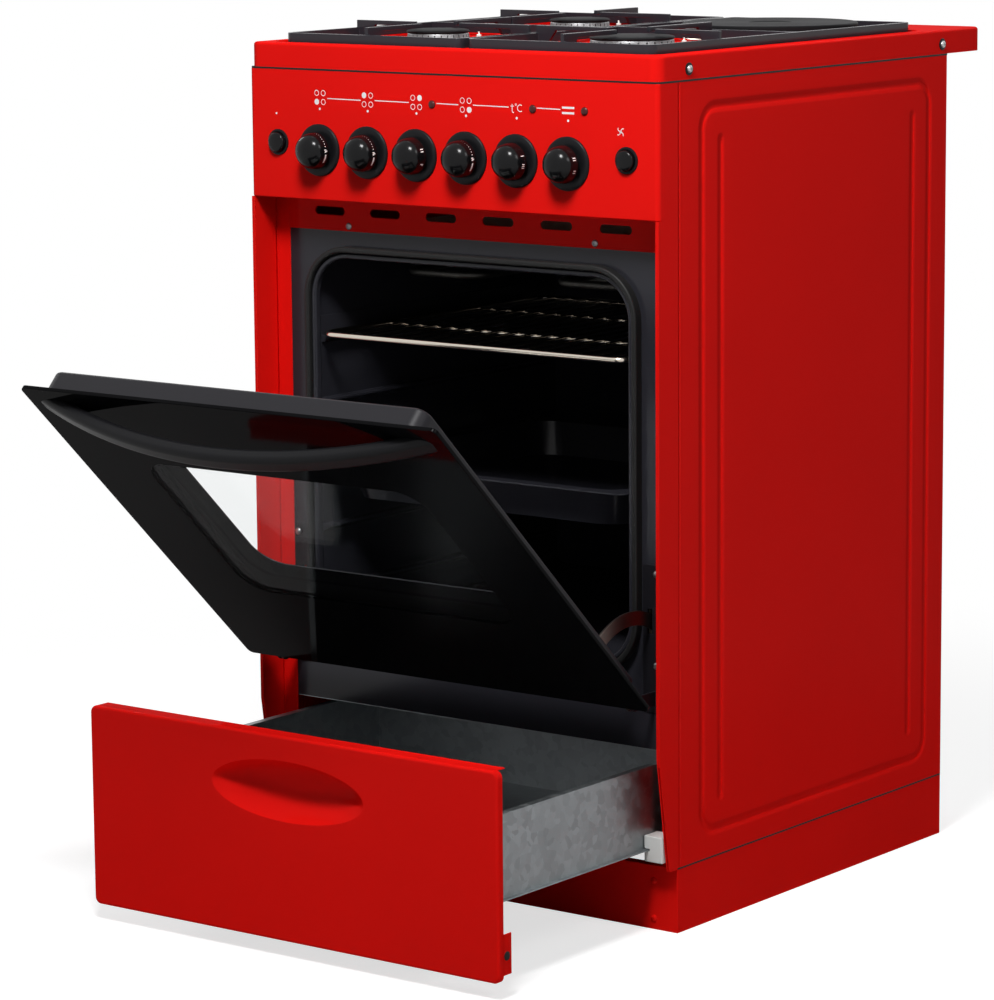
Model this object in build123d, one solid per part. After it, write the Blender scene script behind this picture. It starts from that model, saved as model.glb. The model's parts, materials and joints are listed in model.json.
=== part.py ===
from build123d import *

import os
from math import asin, cos, degrees, radians, sin, sqrt

# Free-standing gas-electric range of the 50 cm class, with its oven door half open and its drawer
# pulled out. Millimetres. The origin is on the floor at the centre of the plinth, +Z is up, the front
# faces -Y, and +X is to the right of someone who stands in front of it.

# Body
body_width = 500.0
plinth_depth = 490.0
plinth_height = 64.0
plinth_setback = 30.0
hob_height = 850.0
hob_skirt = 24.5
hob_rear_overhang = 70.0
panel_height = 130.5
panel_return = 8.0
panel_gap = 0.8
sheet = 1.2
foot_flange = 22.0
seat_flange = 12.0

# Side panels
fin_depth = 34.0
fin_width = 4.0
fin_taper_height = 178.0
fin_taper = 17.0
flange_width = 21.0
crossbar_foot = 10.0
vent_fold = 12.0
rear_flange = 15.0
louvre_rows = 3
louvre_columns = 6
louvre_length = 44.0
louvre_height = 6.0
louvre_pitch = 62.0
louvre_step = 16.0
louvre_drop = 40.0
bead_width = 5.0
bead_depth = 0.8
bead_ring_rear = 35.0
bead_ring_top = 27.5
bead_ring_corner = 22.0
bead_ring_front = 72.0
bead_ring_bottom = 92.0
bead_line_inset = 32.0
crease_width = 1.2
crease_depth = 0.4
hob_tab = 30.0
hob_tab_height = 37.0
hob_screw_front = 50.0
hob_screw_rear = 10.0
hob_screw_drop = 14.5

# Hob
hob_corner = 12.0
hob_edge = 3.0
well_depth = 4.0
well_margin = 14.0
well_rear_margin = 92.0
well_corner = 18.0
burner_inset = 130.0
burner_front = 142.0
burner_rear_margin = 204.0
small_burner = 36.0
large_burner = 46.0
cup_depth = 38.0
crown_height = 8.0
cap_height = 4.0
port_count = 18
port_width = 1.8
hotplate_margin = 16.75
hotplate_height = 12.0
hotplate_rim = 5.0
hotplate_case = 16.0
support_margin = 25.0
support_rear_margin = 98.5
support_gap = 7.0
support_bar = 4.0
support_bar_height = 10.0
support_top = 16.0
support_foot = 8.0
finger_reach = 28.0
finger_height = 4.5

# Controls
knob_count = 6
knob_row_drop = 105.0
knob_row_shift = -8.0
knob_radius = 18.6
knob_length = 26.0
knob_gap = 4.0
bezel_radius = 26.0
bezel_height = 3.0
spindle_radius = 4.0
spindle_flat = 3.0
spindle_depth = 16.0
push_travel = 3.0
boss_radius = 6.5
button_inset = 36.5
button_rise = 6.0
button_radius = 10.0
button_proud = 6.0
button_rim = 13.0
lens_radius = 4.2
lens_rise = 50.5
lens_shift = 20.5
crossbar_setback = 43.0
crossbar_height = 50.0
tap_radius = 12.0
plug_radius = 5.0
plug_length = 16.0
pipe_radius = 8.5
branch_radius = 3.0
inlet_inset = 28.0
inlet_radius = 10.48
inlet_length = 18.0
inlet_collar = 13.0

# Oven
opening_margin = 57.0
opening_bottom = 262.0
opening_drop = 61.0
opening_corner = 40.0
lip_width = 6.0
lip_height = 6.0
seal_width = 6.0
frame_overlap = 11.0
frame_drop = 25.0
vent_height = 33.5
vent_slots = 6
vent_pitch = 70.5
vent_slot_length = 38.0
vent_slot_height = 8.5
vent_slot_drop = 14.0
vent_screw_inset = 98.0
cavity_step = 5.0
oven_rear_gap = 74.6
cavity_corner = 12.0
runner_levels = 5
runner_lift = 34.7
runner_headroom = 81.3
runner_ledge = 11.0
runner_height = 8.0
runner_front_gap = 6.0
runner_rear_gap = 23.0
blanket_side = 12.0
blanket_top = 16.0
blanket_bottom = 18.0
blanket_rear = 18.0
element_radius = 4.0
element_drop = 22.0
element_inset = 58.0
lower_element_inset = 78.0
element_loop_x = 48.0
fan_drop = 8.0
fan_cover_radius = 92.0
fan_cover_depth = 18.0
fan_blade_radius = 74.0
fan_blade_count = 8
fan_shaft = 3.0
motor_radius = 30.0
motor_length = 38.0
lamp_inset = 58.0
lamp_drop = 49.0
lamp_radius = 20.0

# Terminal box on the rear panel
terminal_x = 125.0
terminal_width = 70.0
terminal_top = 640.0
terminal_height = 80.0
terminal_depth = 30.0
gland_length = 16.0

# Shelf and tray
insert_side_gap = 3.0
insert_clearance = 3.0
shelf_level = 4
shelf_rear_gap = 37.4
shelf_rim = 3.0
shelf_wire = 1.5
shelf_wires = 17
shelf_wire_margin = 22.0
tray_level = 2
tray_rear_gap = 47.4
tray_height = 36.0
tray_rim = 14.0
tray_draft = 9.0
tray_corner = 30.0

# Door, hung at its lower edge
pivot_z = 229.0
door_rest_angle = 46.5
door_top_gap = 2.0
glass = 4.0
door_front = 12.0
door_lift = 11.0
door_body_depth = 33.0
door_band_depth = 22.0
door_step = 20.0
door_step_bottom = 4.0
door_step_corner = 10.0
door_body_inset = 24.0
door_body_lift = 16.0
door_body_corner = 14.0
window_margin = 58.0
window_bottom = 140.0
window_drop = 108.0
window_corner = 30.0
window_frame = 22.0
handle_inset = 14.0
handle_reach = 44.0
handle_thickness = 15.0
handle_height = 20.0
handle_chamfer = 4.0
handle_drop = 26.0
arm_inset = 36.0
arm_thickness = 2.5
arm_ear = 7.0
arm_inner = 76.0
arm_outer = 90.0
arm_tail = -30.0
arm_strap = 12.0
arm_strap_height = 112.0
pin_radius = 3.0
bracket_inner_reach = 7.0
bracket_outer_reach = 14.0
bracket_drop = 14.0
bracket_rise = 131.0
bracket_sheet = 1.5

# Drawer
drawer_rest_travel = 248.0
drawer_front = 10.0
drawer_bottom = 16.0
drawer_top_gap = 13.0
drawer_edge = 3.0
drawer_corner = 7.0
drawer_return = 8.0
drawer_top_return = 20.0
drawer_tab = 20.0
drawer_tab_top = 62.0
drawer_side_gap = 28.0
drawer_box_bottom = 83.0
bay_gap = 14.0
drawer_rear_gap = 113.8
drawer_rail_width = 6.0
drawer_play = 1.0
bay_top = 178.0
pull_width = 186.0
pull_height = 59.0
pull_depth = 22.0
pull_z = 163.0
guide_length = 22.0
guide_width = 22.0
guide_height = 26.0

# Working clearances
running_fit = 0.05
small_gap = 0.3

# Places worked out from the sizes above
half_width = body_width / 2
rear_y = plinth_depth / 2
front_y = -rear_y - plinth_setback
skirt_z = hob_height - hob_skirt
panel_z = skirt_z - panel_height
flange_y = front_y + fin_depth
flange_x = half_width - flange_width
frame_y = flange_y + sheet
liner_y = frame_y + sheet
opening_width = body_width - 2 * opening_margin
opening_height = panel_z - opening_drop - opening_bottom
opening_x = opening_width / 2
opening_z = opening_bottom + opening_height / 2
opening_top = opening_bottom + opening_height
frame_top = panel_z - frame_drop
vent_bottom = panel_z - vent_height
vent_slot_z = panel_z - vent_slot_drop
cavity_x = opening_x + cavity_step
cavity_z = (opening_bottom - cavity_step + 1, opening_top + cavity_step - 1)
cavity_y = rear_y - oven_rear_gap
element_x = cavity_x - element_inset
lower_element_x = cavity_x - lower_element_inset
fan_z = opening_z - fan_drop
lamp_x = lamp_inset - opening_x
lamp_z = opening_top - lamp_drop
runner_y = (liner_y + runner_front_gap, cavity_y - runner_rear_gap)
runner_first = opening_bottom + runner_lift
runner_last = opening_top - runner_headroom
runner_pitch = (runner_last - runner_first) / (runner_levels - 1)
door_inner_y = front_y - door_front + glass + door_body_depth
knob_z = hob_height - knob_row_drop
button_x = half_width - button_inset
knob_pitch = 2 * button_x / (knob_count + 1)
knob_xs = [knob_row_shift + knob_pitch * (i - (knob_count - 1) / 2) for i in range(knob_count)]
gas_knobs = (0, 1, 3)
electric_knobs = (2, 4, 5)
bezel_y = front_y - bezel_height
knob_y = bezel_y - knob_gap
button_z = knob_z + button_rise
crossbar_y = front_y + crossbar_setback
manifold_y = crossbar_y + sheet + pipe_radius + 4
inlet_x = half_width - inlet_inset
hob_rear_y = rear_y + hob_rear_overhang
well_z = hob_height - well_depth
burner_x = half_width - burner_inset
burner_rear = hob_rear_y - front_y - burner_rear_margin
hotplate_radius = (half_width - support_margin - support_gap / 2) / 2 - support_bar - hotplate_margin
burners = [(-burner_x, burner_front, small_burner), (-burner_x, burner_rear, small_burner),
           (burner_x, burner_front, large_burner)]
hotplate_y = front_y + burner_rear
insert_front = door_inner_y + insert_clearance
insert_width = opening_width - 2 * insert_side_gap
shelf_depth = cavity_y - shelf_rear_gap - insert_front
tray_depth = cavity_y - tray_rear_gap - insert_front
door_height = panel_z - door_top_gap - pivot_z - door_lift
door_body_width = body_width - 2 * door_body_inset
window_width = door_body_width - 2 * window_margin
window_height = door_lift + door_height - window_drop - window_bottom
arm_x = half_width - arm_inset
bracket_x = (arm_x - bracket_inner_reach, arm_x + bracket_outer_reach)
bracket_z = (pivot_z - bracket_drop, pivot_z + bracket_rise)
drawer_top = pivot_z - drawer_top_gap
drawer_box_width = body_width - 2 * drawer_side_gap
drawer_box_top = bay_top - bay_gap
pivot = (0, front_y, pivot_z)


def block(x, y, z):
    """A box from its low and high limits along each axis."""
    limits = (x, y, z)
    middle = [(low + high) / 2 for low, high in limits]
    return Pos(*middle) * Box(*[high - low for low, high in limits])


def even(limit):
    """Limits the same distance either side of the middle."""
    return (-limit, limit)


def facing_front(y):
    """Upright plane across the range: its own X and Y are the range's X and Z."""
    return Plane(origin=(0, y, 0), x_dir=(1, 0, 0), z_dir=(0, -1, 0))


def facing_right(x):
    """Upright plane along the range: its own X and Y are the range's Y and Z."""
    return Plane(origin=(x, 0, 0), x_dir=(0, 1, 0), z_dir=(1, 0, 0))


def upright(sketch, y, thickness):
    """An upright sheet across the range, with its front face at y."""
    return extrude(facing_front(y + thickness) * sketch, thickness)


def bar(radius, start, end):
    """A round bar between two points."""
    line = Vector(*end) - Vector(*start)
    return extrude(Plane(origin=start, z_dir=line) * Circle(radius), line.length)


def tube_along(points, radius, bend):
    """A round bar bent along a route, its corners rounded to the bend radius."""
    route = FilletPolyline(*points, radius=bend)
    section = Plane(origin=route @ 0, z_dir=route % 0) * Circle(radius)
    return sweep(section, path=route)


def turned(points):
    """A turned piece about the vertical axis, from the radius and height of each corner."""
    outline = make_face(Polyline(*[(r, 0, z) for r, z in points], close=True))
    return revolve(outline, Axis.Z)


def pair(piece):
    """A piece and its mirror image on the other side of the range."""
    return [piece, mirror(piece, about=Plane.YZ)]


def folded(points, thickness):
    """Section of a folded sheet: its outer line and the same line moved to the left."""
    corners = [Vector(*p) for p in points]
    runs = [(b - a).normalized() for a, b in zip(corners, corners[1:])]
    lefts = [Vector(-run.Y, run.X) for run in runs]
    inner = []
    for corner, before, after in zip(corners, [lefts[0]] + lefts, lefts + [lefts[-1]]):
        inner.append(corner + (before + after) * (thickness / (1 + before.dot(after))))
    return make_face(Polyline(*corners, *reversed(inner), close=True))


def rounded_block(x, y, z, corner, edge):
    """A box with rounded upright corners and a rounded top edge."""
    body = block(x, y, z)
    body = fillet(body.edges().filter_by(Axis.Z), corner)
    return fillet(body.faces().sort_by(Axis.Z)[-1].edges(), edge)


def group(pieces):
    """Separate solids that make one sub-part."""
    return Compound(children=[solid for piece in pieces for solid in piece.solids()])


# Casing


def side_panel():
    """Right side panel: folded forward fin, inward flanges, pressed beads and tabs for the hob."""
    fin_x = half_width - fin_width
    line = [(flange_x, flange_y), (fin_x, flange_y), (fin_x, front_y), (half_width, front_y),
            (half_width, rear_y), (half_width - rear_flange, rear_y)]
    panel = extrude(Plane.XY.offset(plinth_height) * folded(line, sheet), skirt_z - plinth_height)
    behind_panel = block((flange_x - 1, half_width + 1), (front_y - 1, front_y + panel_return),
                         (panel_z, skirt_z + 1))
    taper = make_face(Polyline((front_y - 1, fin_taper_height), (front_y, fin_taper_height),
                               (front_y + fin_taper, plinth_height), (front_y + fin_taper, 0),
                               (front_y - 1, 0), close=True))
    panel -= behind_panel
    panel -= extrude(facing_right(fin_x - 1) * taper, fin_width + 2)
    panel -= extrude(facing_right(half_width - bead_depth) * bead_lines(bead_width), bead_depth)
    back = extrude(facing_right(half_width - sheet - bead_depth) * bead_lines(bead_width + 2),
                   bead_depth)
    panel += back
    panel -= block((half_width - crease_depth, half_width + 1),
                   (flange_y - crease_width / 2, flange_y + crease_width / 2),
                   (plinth_height - 1, skirt_z + 1))
    for y in hob_screw_ys():
        reach = min(hob_tab / 2, rear_y - 2 * sheet - y)
        panel += block((half_width - 2 * sheet, half_width - sheet), (y - hob_tab / 2, y + reach),
                       (skirt_z - hob_tab_height / 2, skirt_z + hob_tab_height / 2))
    return panel


def hob_screw_ys():
    """Places of the screws that hold the hob's skirt to a side panel."""
    return (front_y + hob_screw_front, rear_y - hob_screw_rear)


def bead_lines(width):
    """Pressed lines of a side panel: a rounded ring and two straight lines inside it."""
    ring_y = (front_y + bead_ring_front, rear_y - bead_ring_rear)
    ring_z = (bead_ring_bottom, skirt_z - bead_ring_top)
    middle = (sum(ring_y) / 2, sum(ring_z) / 2)
    depth = ring_y[1] - ring_y[0]
    height = ring_z[1] - ring_z[0]
    ring = RectangleRounded(depth + width, height + width, bead_ring_corner + width / 2)
    ring -= RectangleRounded(depth - width, height - width, bead_ring_corner - width / 2)
    lines = Pos(*middle) * ring
    length = height - 2 * bead_line_inset
    for side in (-1, 1):
        y = middle[0] + side * (depth / 2 - bead_line_inset)
        lines += Pos(y, middle[1]) * RectangleRounded(width, length, width * 0.49)
    return lines


def plinth():
    """Folded plinth: four walls, a flange to stand on and a flange that carries the panels."""
    walls = block(even(half_width), even(rear_y), (0, plinth_height))
    walls -= block(even(half_width - sheet), even(rear_y - sheet), (sheet, plinth_height - sheet))
    walls -= block(even(half_width - foot_flange), even(rear_y - foot_flange), (-1, 2 * sheet))
    walls -= block(even(half_width - seat_flange), even(rear_y - seat_flange),
                   (plinth_height - 2 * sheet, plinth_height + 1))
    return walls


def rear_panel():
    """Rear sheet with rows of louvre slots and the holes of the gas and cable inlets."""
    face = Pos(0, (plinth_height + skirt_z) / 2) * Rectangle(body_width - 2 * sheet,
                                                           skirt_z - plinth_height)
    slot = SlotOverall(louvre_length, louvre_height)
    for row in range(louvre_rows):
        for column in range(louvre_columns):
            x = louvre_pitch * (column - (louvre_columns - 1) / 2)
            face -= Pos(x, skirt_z - louvre_drop - louvre_step * row) * slot
    face -= Pos(inlet_x, knob_z) * Circle(inlet_radius + 0.5)
    return upright(face, rear_y - 2 * sheet, sheet)


def control_panel():
    """Control panel: rounded front with returns, and holes for knobs, buttons and lamps."""
    top = skirt_z - panel_gap
    shell = block(even(half_width), (front_y, front_y + panel_return), (panel_z, top))
    front_edges = shell.faces().sort_by(Axis.Y)[0].edges()
    shell = fillet(front_edges, 2.5)
    shell -= block(even(half_width - sheet), (front_y + sheet, front_y + panel_return + 1),
                   (panel_z + sheet, top - sheet))
    shell += block(even(flange_x - small_gap), (front_y + panel_return, flange_y),
                   (panel_z, panel_z + sheet))
    holes = [(x, knob_z, boss_radius + 1) for x in knob_xs]
    holes += [(side * button_x, button_z, button_radius + small_gap) for side in (-1, 1)]
    holes += [(x, knob_z + lens_rise, lens_radius) for x in lens_xs()]
    for x, z, radius in holes:
        shell -= bar(radius, (x, front_y - 1, z), (x, front_y + panel_return - 1, z))
    return shell


def lens_xs():
    """Indicator lamps stand to the right of the electric knobs."""
    return [knob_xs[i] + lens_shift for i in electric_knobs]


def vent_strip():
    """Strip above the oven with a row of rounded slots and a folded top."""
    top = panel_z + sheet
    face = Pos(0, (vent_bottom + top) / 2) * Rectangle(2 * (flange_x - small_gap),
                                                      top - vent_bottom)
    for i in range(vent_slots):
        x = vent_pitch * (i - (vent_slots - 1) / 2)
        face -= Pos(x, vent_slot_z) * SlotOverall(vent_slot_length, vent_slot_height)
    strip = upright(face, flange_y, sheet)
    fold = block(even(flange_x - small_gap), (flange_y, flange_y + vent_fold),
                 (top - sheet, top))
    return strip + fold


# Hob


def hob_top():
    """Enamelled hob: rounded skirt, shallow well, and holes for the burners and the hotplate."""
    y = (front_y, hob_rear_y)
    hob = rounded_block(even(half_width), y, (skirt_z, hob_height), hob_corner, hob_edge)
    inside = (y[0] + sheet, y[1] - sheet)
    hob -= rounded_block(even(half_width - sheet), inside, (skirt_z - 1, hob_height - sheet),
                         hob_corner - sheet, hob_edge - sheet)
    well_y = (front_y + well_margin, hob_rear_y - well_rear_margin)
    well_x = half_width - well_margin
    hob += rounded_prism(even(well_x + sheet), (well_y[0] - sheet, well_y[1] + sheet),
                         (well_z - sheet, hob_height - sheet / 2), well_corner + sheet)
    hob -= rounded_prism(even(well_x), well_y, (well_z, hob_height + 1), well_corner)
    for x, y_place, radius in burners:
        hob -= Pos(x, front_y + y_place, well_z) * Cylinder(cup_radius(radius) + small_gap, 12)
        spark = spark_place(x, y_place, radius)
        hob -= Pos(*spark, well_z) * Cylinder(2.8, 12)
    hob -= Pos(burner_x, hotplate_y, well_z) * Cylinder(hotplate_radius - 8 + small_gap, 12)
    return hob


def rounded_prism(x, y, z, corner):
    """A box with rounded upright corners."""
    body = block(x, y, z)
    return fillet(body.edges().filter_by(Axis.Z), corner)


def cup_radius(burner):
    """Radius of a burner's cup under the hob."""
    return burner - 10


def spark_place(x, y_place, radius):
    """The spark electrode stands outside the crown, on the diagonal."""
    reach = (radius + 5.5) / sqrt(2)
    return (x + reach, front_y + y_place + reach)


def burner_cups():
    """Burner cups: a flange on the hob's well and a body below it with its gas jet socket."""
    cups = []
    for x, y_place, radius in burners:
        inner = cup_radius(radius)
        profile = [(0, well_z - cup_depth), (inner * 0.55, well_z - cup_depth),
                   (inner, well_z - cup_depth * 0.55), (inner, well_z), (radius, well_z),
                   (radius, well_z + 2), (inner - 3, well_z + 2),
                   (inner - 3, well_z - cup_depth * 0.45), (0, well_z - cup_depth * 0.6)]
        cups.append(Pos(x, front_y + y_place) * turned(profile))
    return group(cups)


def burner_crowns():
    """Burner crowns: rings with a row of flame ports cut through the wall."""
    crowns = []
    low = well_z + 2
    for x, y_place, radius in burners:
        outer = radius - 3
        inner = cup_radius(radius) - 4
        ring = turned([(inner, low), (outer, low), (outer - 1.5, low + crown_height),
                       (inner, low + crown_height)])
        port = block((inner + 4, outer + 2), even(port_width / 2),
                     (low + crown_height - 4, low + crown_height + 1))
        for i in range(port_count):
            ring -= Rot(0, 0, 360 * i / port_count) * port
        crowns.append(Pos(x, front_y + y_place) * ring)
    return group(crowns)


def burner_caps():
    """Burner caps: enamelled discs with a slightly domed top and a rounded rim."""
    caps = []
    low = well_z + 2 + crown_height
    for x, y_place, radius in burners:
        outer = radius - 4
        outline = [(0, low), (outer, low), (outer, low + 2), (outer - 2, low + cap_height - 0.6),
                   (outer * 0.5, low + cap_height), (0, low + cap_height)]
        caps.append(Pos(x, front_y + y_place) * turned(outline))
    return group(caps)


def spark_electrodes():
    """Ceramic spark electrodes with a collar under the well."""
    pins = []
    for x, y_place, radius in burners:
        place = spark_place(x, y_place, radius)
        pins.append(Pos(*place) * turned([(0, well_z - 18), (2.5, well_z - 18),
                                          (2.5, well_z - sheet - 2), (4.5, well_z - sheet - 2),
                                          (4.5, well_z - sheet), (2.5, well_z - sheet),
                                          (2.5, well_z + 7), (0.8, well_z + 7.5),
                                          (0.8, well_z + 10), (0, well_z + 10)]))
    return group(pins)


def hotplate():
    """Cast-iron hotplate with a dished centre, and its case under the hob."""
    low = well_z + hotplate_rim - 2
    top = low + hotplate_height
    rim = hotplate_radius
    plate = turned([(0, well_z - hotplate_case), (rim - 8, well_z - hotplate_case),
                    (rim - 8, low), (rim - 1, low), (rim, low + 1), (rim, top - 2),
                    (rim - 2, top), (22, top), (20, top - 1), (0, top - 1)])
    return Pos(burner_x, hotplate_y) * plate


def hotplate_ring():
    """Bright overflow ring between the hotplate and the hob."""
    rim = hotplate_radius
    ring = turned([(rim - 7.5, well_z), (rim + 5, well_z), (rim + 5, well_z + 1),
                   (rim + 2, well_z + hotplate_rim), (rim + 1, well_z + hotplate_rim),
                   (rim + 1, well_z + 1.5), (rim - 7.5, well_z + 1.5)])
    return Pos(burner_x, hotplate_y) * ring


def pan_support(cells, side):
    """Flat-bar pan support over one half of the hob; a cell with a burner gets four fingers."""
    low = hob_height - 1.5
    high = low + support_bar_height
    x = sorted((side * support_gap / 2, side * (half_width - support_margin)))
    y = (front_y + support_margin, hob_rear_y - support_rear_margin)
    middle_y = front_y + (burner_front + burner_rear) / 2
    frame = rounded_prism(x, y, (low, high), 10)
    frame -= rounded_prism((x[0] + support_bar, x[1] - support_bar),
                           (y[0] + support_bar, y[1] - support_bar), (low - 1, high + 1), 6)
    if len(cells) == 2:
        frame += block(x, (middle_y - support_bar / 2, middle_y + support_bar / 2), (low, high))
    else:
        cross_y = hotplate_y - hotplate_radius - 5 - 3 * support_bar
        middle_y = cross_y
        frame += block(x, (cross_y - support_bar / 2, cross_y + support_bar / 2), (low, high))
    spans = {burner_front: (y[0], middle_y), burner_rear: (middle_y, y[1])}
    for place in cells:
        frame += fingers(side * burner_x, front_y + place, x, spans[place], (low, high))
    for foot_x in (x[0] + 14, x[1] - 14):
        for foot_y in (y[0] + support_bar / 2, middle_y, y[1] - support_bar / 2):
            foot = block(even(support_foot / 2), even(support_bar / 2), (well_z, low + 1))
            frame += Pos(foot_x, foot_y) * foot
    return frame


def fingers(x, y, frame_x, frame_y, height):
    """Four upright plates that reach from the frame towards the centre of a burner."""
    low, high = height
    top = hob_height + support_top
    plates = []
    reaches = [(frame_x[0] - x, 0), (frame_x[1] - x, 0), (frame_y[0] - y, 90), (frame_y[1] - y, 90)]
    for reach, turn in reaches:
        sign = 1 if reach > 0 else -1
        outer = abs(reach) - 1
        outline = make_face(Polyline((finger_reach, top - finger_height), (finger_reach, top),
                                     (outer, top), (outer, low), (outer - 14, low),
                                     (outer - 24, top - finger_height), close=True))
        plate = extrude(Plane.XZ * outline, support_bar / 2, both=True)
        angle = turn + (0 if sign > 0 else 180)
        plates.append(Pos(x, y) * Rot(0, 0, angle) * plate)
    return plates


# Controls


def on_panel(piece, x, z, y):
    """Place a piece that is turned about its own vertical axis so that it points to the front."""
    return Pos(x, y, z) * Rot(90, 0, 0) * piece


def d_shaft(radius, flat, start, end):
    """A shaft with a flat, along its own vertical axis."""
    shaft = Pos(0, 0, (start + end) / 2) * Cylinder(radius, end - start)
    return shaft - block((flat, radius + 1), even(radius + 1), (start - 1, end + 1))


def knob_shell():
    """Domed knob, hollow at the back round a boss for the spindle."""
    wall = 2.2
    dome = [(0, knob_length), (knob_length * 0.42, knob_length - 2.4),
            (knob_radius - 1.6, knob_length - 10.5)]
    outline = Edge.make_spline([Vector(r, 0, z) for r, z in dome],
                               tangents=[Vector(1, 0, 0), Vector(0.12, 0, -1)])
    skirt = Polyline((dome[2][0], 0, dome[2][1]), (knob_radius, 0, 1.5), (knob_radius - 0.6, 0, 0),
                     (0, 0, 0), (0, 0, knob_length))
    shell = revolve(make_face([outline] + list(skirt.edges())), Axis.Z)
    shell -= turned([(boss_radius, -1), (knob_radius - wall, -1),
                     (knob_radius - wall - 1.5, knob_length - 12),
                     (knob_radius - wall - 6, knob_length - 6.5), (boss_radius, knob_length - 5)])
    return shell


def gas_knob(x):
    """Knob of a gas tap, with a flatted hole that leaves room for the push travel."""
    bore = d_shaft(spindle_radius + running_fit, spindle_flat + running_fit, -1,
                   spindle_depth)
    return on_panel(knob_shell() - bore, x, knob_z, knob_y)


def electric_knob(x):
    """Knob of an electric control, moulded in one with the shaft that enters its switch."""
    shaft = d_shaft(spindle_radius, spindle_flat, knob_y - crossbar_y + 6, 2)
    return on_panel(knob_shell() + shaft, x, knob_z, knob_y)


def tap_plug(x):
    """Turning plug of a gas tap with its flatted spindle."""
    tip = spindle_depth - push_travel - 1
    seat = knob_y - (crossbar_y - plug_length - 3)
    shaft = d_shaft(spindle_radius, spindle_flat, seat, tip)
    plug = Pos(0, 0, seat - plug_length / 2) * Cylinder(plug_radius, plug_length)
    gas_way = bar(1.5, (0, -plug_radius - 1, seat - 8), (0, plug_radius + 1, seat - 8))
    return on_panel(shaft + plug - gas_way, x, knob_z, knob_y)


def gas_taps():
    """Gas tap bodies with their plug bore, outlet boss and the stub on the manifold."""
    taps = []
    for i in gas_knobs:
        x = knob_xs[i]
        body = bar(tap_radius, (x, crossbar_y - 26, knob_z), (x, crossbar_y, knob_z))
        body += bar(6, (x, crossbar_y - 1, knob_z), (x, manifold_y, knob_z))
        body += bar(5, (x, crossbar_y - 10, knob_z), (x, crossbar_y - 10, tap_outlet_z()))
        body -= bar(plug_radius + running_fit, (x, crossbar_y - 30, knob_z),
                    (x, crossbar_y - 2, knob_z))
        body -= bar(pipe_radius, (x - 20, manifold_y, knob_z), (x + 20, manifold_y, knob_z))
        taps.append(body)
    return group(taps)


def tap_outlet_z():
    """Height of a tap's outlet, where its burner pipe starts."""
    return knob_z + tap_radius + 5


def burner_pipes():
    """Thin pipes from the taps to the burner cups."""
    pipes = []
    heights = (40, 30, 40)
    for i, height, (x, y_place, radius) in zip(gas_knobs, heights, burners):
        start = (knob_xs[i], crossbar_y - 10)
        end = (x, front_y + y_place)
        level = knob_z + height
        points = [(*start, tap_outlet_z()), (*start, level), (*end, level),
                  (*end, well_z - cup_depth)]
        pipes.append(tube_along(points, branch_radius, 9))
    return group(pipes)


def gas_manifold():
    """Manifold behind the taps, along the right side to the threaded inlet at the rear."""
    rear = rear_y - sheet
    route = [(knob_xs[0] - 25, manifold_y, knob_z), (inlet_x, manifold_y, knob_z),
             (inlet_x, rear + 2, knob_z)]
    pipe = tube_along(route, pipe_radius, 20)
    pipe += bar(inlet_collar, (inlet_x, rear, knob_z), (inlet_x, rear + 6, knob_z))
    stub_end = rear + 6 + inlet_length
    pipe += bar(inlet_radius, (inlet_x, rear + 5, knob_z), (inlet_x, stub_end, knob_z))
    pipe -= bar(pipe_radius - 1.5, (inlet_x, rear - 10, knob_z), (inlet_x, stub_end + 1, knob_z))
    return pipe


def crossbar():
    """Cross bar between the side flanges that carries taps and switches."""
    z = (knob_z - crossbar_height / 2, knob_z + crossbar_height / 2)
    end = flange_x + crossbar_foot
    rail = block(even(end), (crossbar_y, crossbar_y + sheet), z)
    for piece in pair(block((end - sheet, end), (frame_y, crossbar_y + sheet), z)):
        rail += piece
    for piece in pair(block((flange_x + 1, end), (frame_y, frame_y + sheet), z)):
        rail += piece
    for i in gas_knobs:
        rail -= bar(6.3, (knob_xs[i], crossbar_y - 1, knob_z), (knob_xs[i], crossbar_y + 3, knob_z))
    return rail


def panel_switches():
    """Hotplate switch, thermostat, mode switch and the two push switches on the cross bar."""
    bodies = []
    front = crossbar_y - 26
    for i in electric_knobs:
        x = knob_xs[i]
        body = block((x - 17, x + 17), (front, crossbar_y), (knob_z - 22, knob_z + 22))
        body -= bar(spindle_radius + running_fit, (x, front - 1, knob_z),
                    (x, crossbar_y - 3, knob_z))
        bodies.append(body)
    for x in (-button_x, button_x):
        body = block((x - 8, x + 8), (front, crossbar_y), (button_z - 10, button_z + 10))
        body -= bar(spindle_radius + small_gap, (x, front - 1, button_z),
                    (x, crossbar_y - 3, button_z))
        bodies.append(body)
    return group(bodies)


def push_button(x):
    """Domed push button with the stem that reaches its switch."""
    top = button_proud
    cap = turned([(0, -8), (button_radius, -8), (button_radius, top - 1.5),
                  (button_radius - 1.5, top), (0, top + 0.8)])
    stem_end = front_y - (crossbar_y - 3 - push_travel - 0.5)
    stem = Pos(0, 0, (stem_end - 7) / 2) * Cylinder(spindle_radius, -7 - stem_end)
    return on_panel(cap + stem, x, button_z, front_y)


def bezels():
    """Black discs under the knobs and rims round the push buttons."""
    discs = []
    for x in knob_xs:
        disc = turned([(boss_radius + 0.5, 0), (bezel_radius, 0), (bezel_radius, 1.2),
                       (bezel_radius - 2, bezel_height), (boss_radius + 0.5, bezel_height)])
        discs.append(on_panel(disc, x, knob_z, front_y))
    for x in (-button_x, button_x):
        inner = button_radius + small_gap
        rim = turned([(inner, 0), (button_rim, 0), (button_rim - 0.8, 1.6), (inner, 1.6)])
        discs.append(on_panel(rim, x, button_z, front_y))
    return group(discs)


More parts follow.
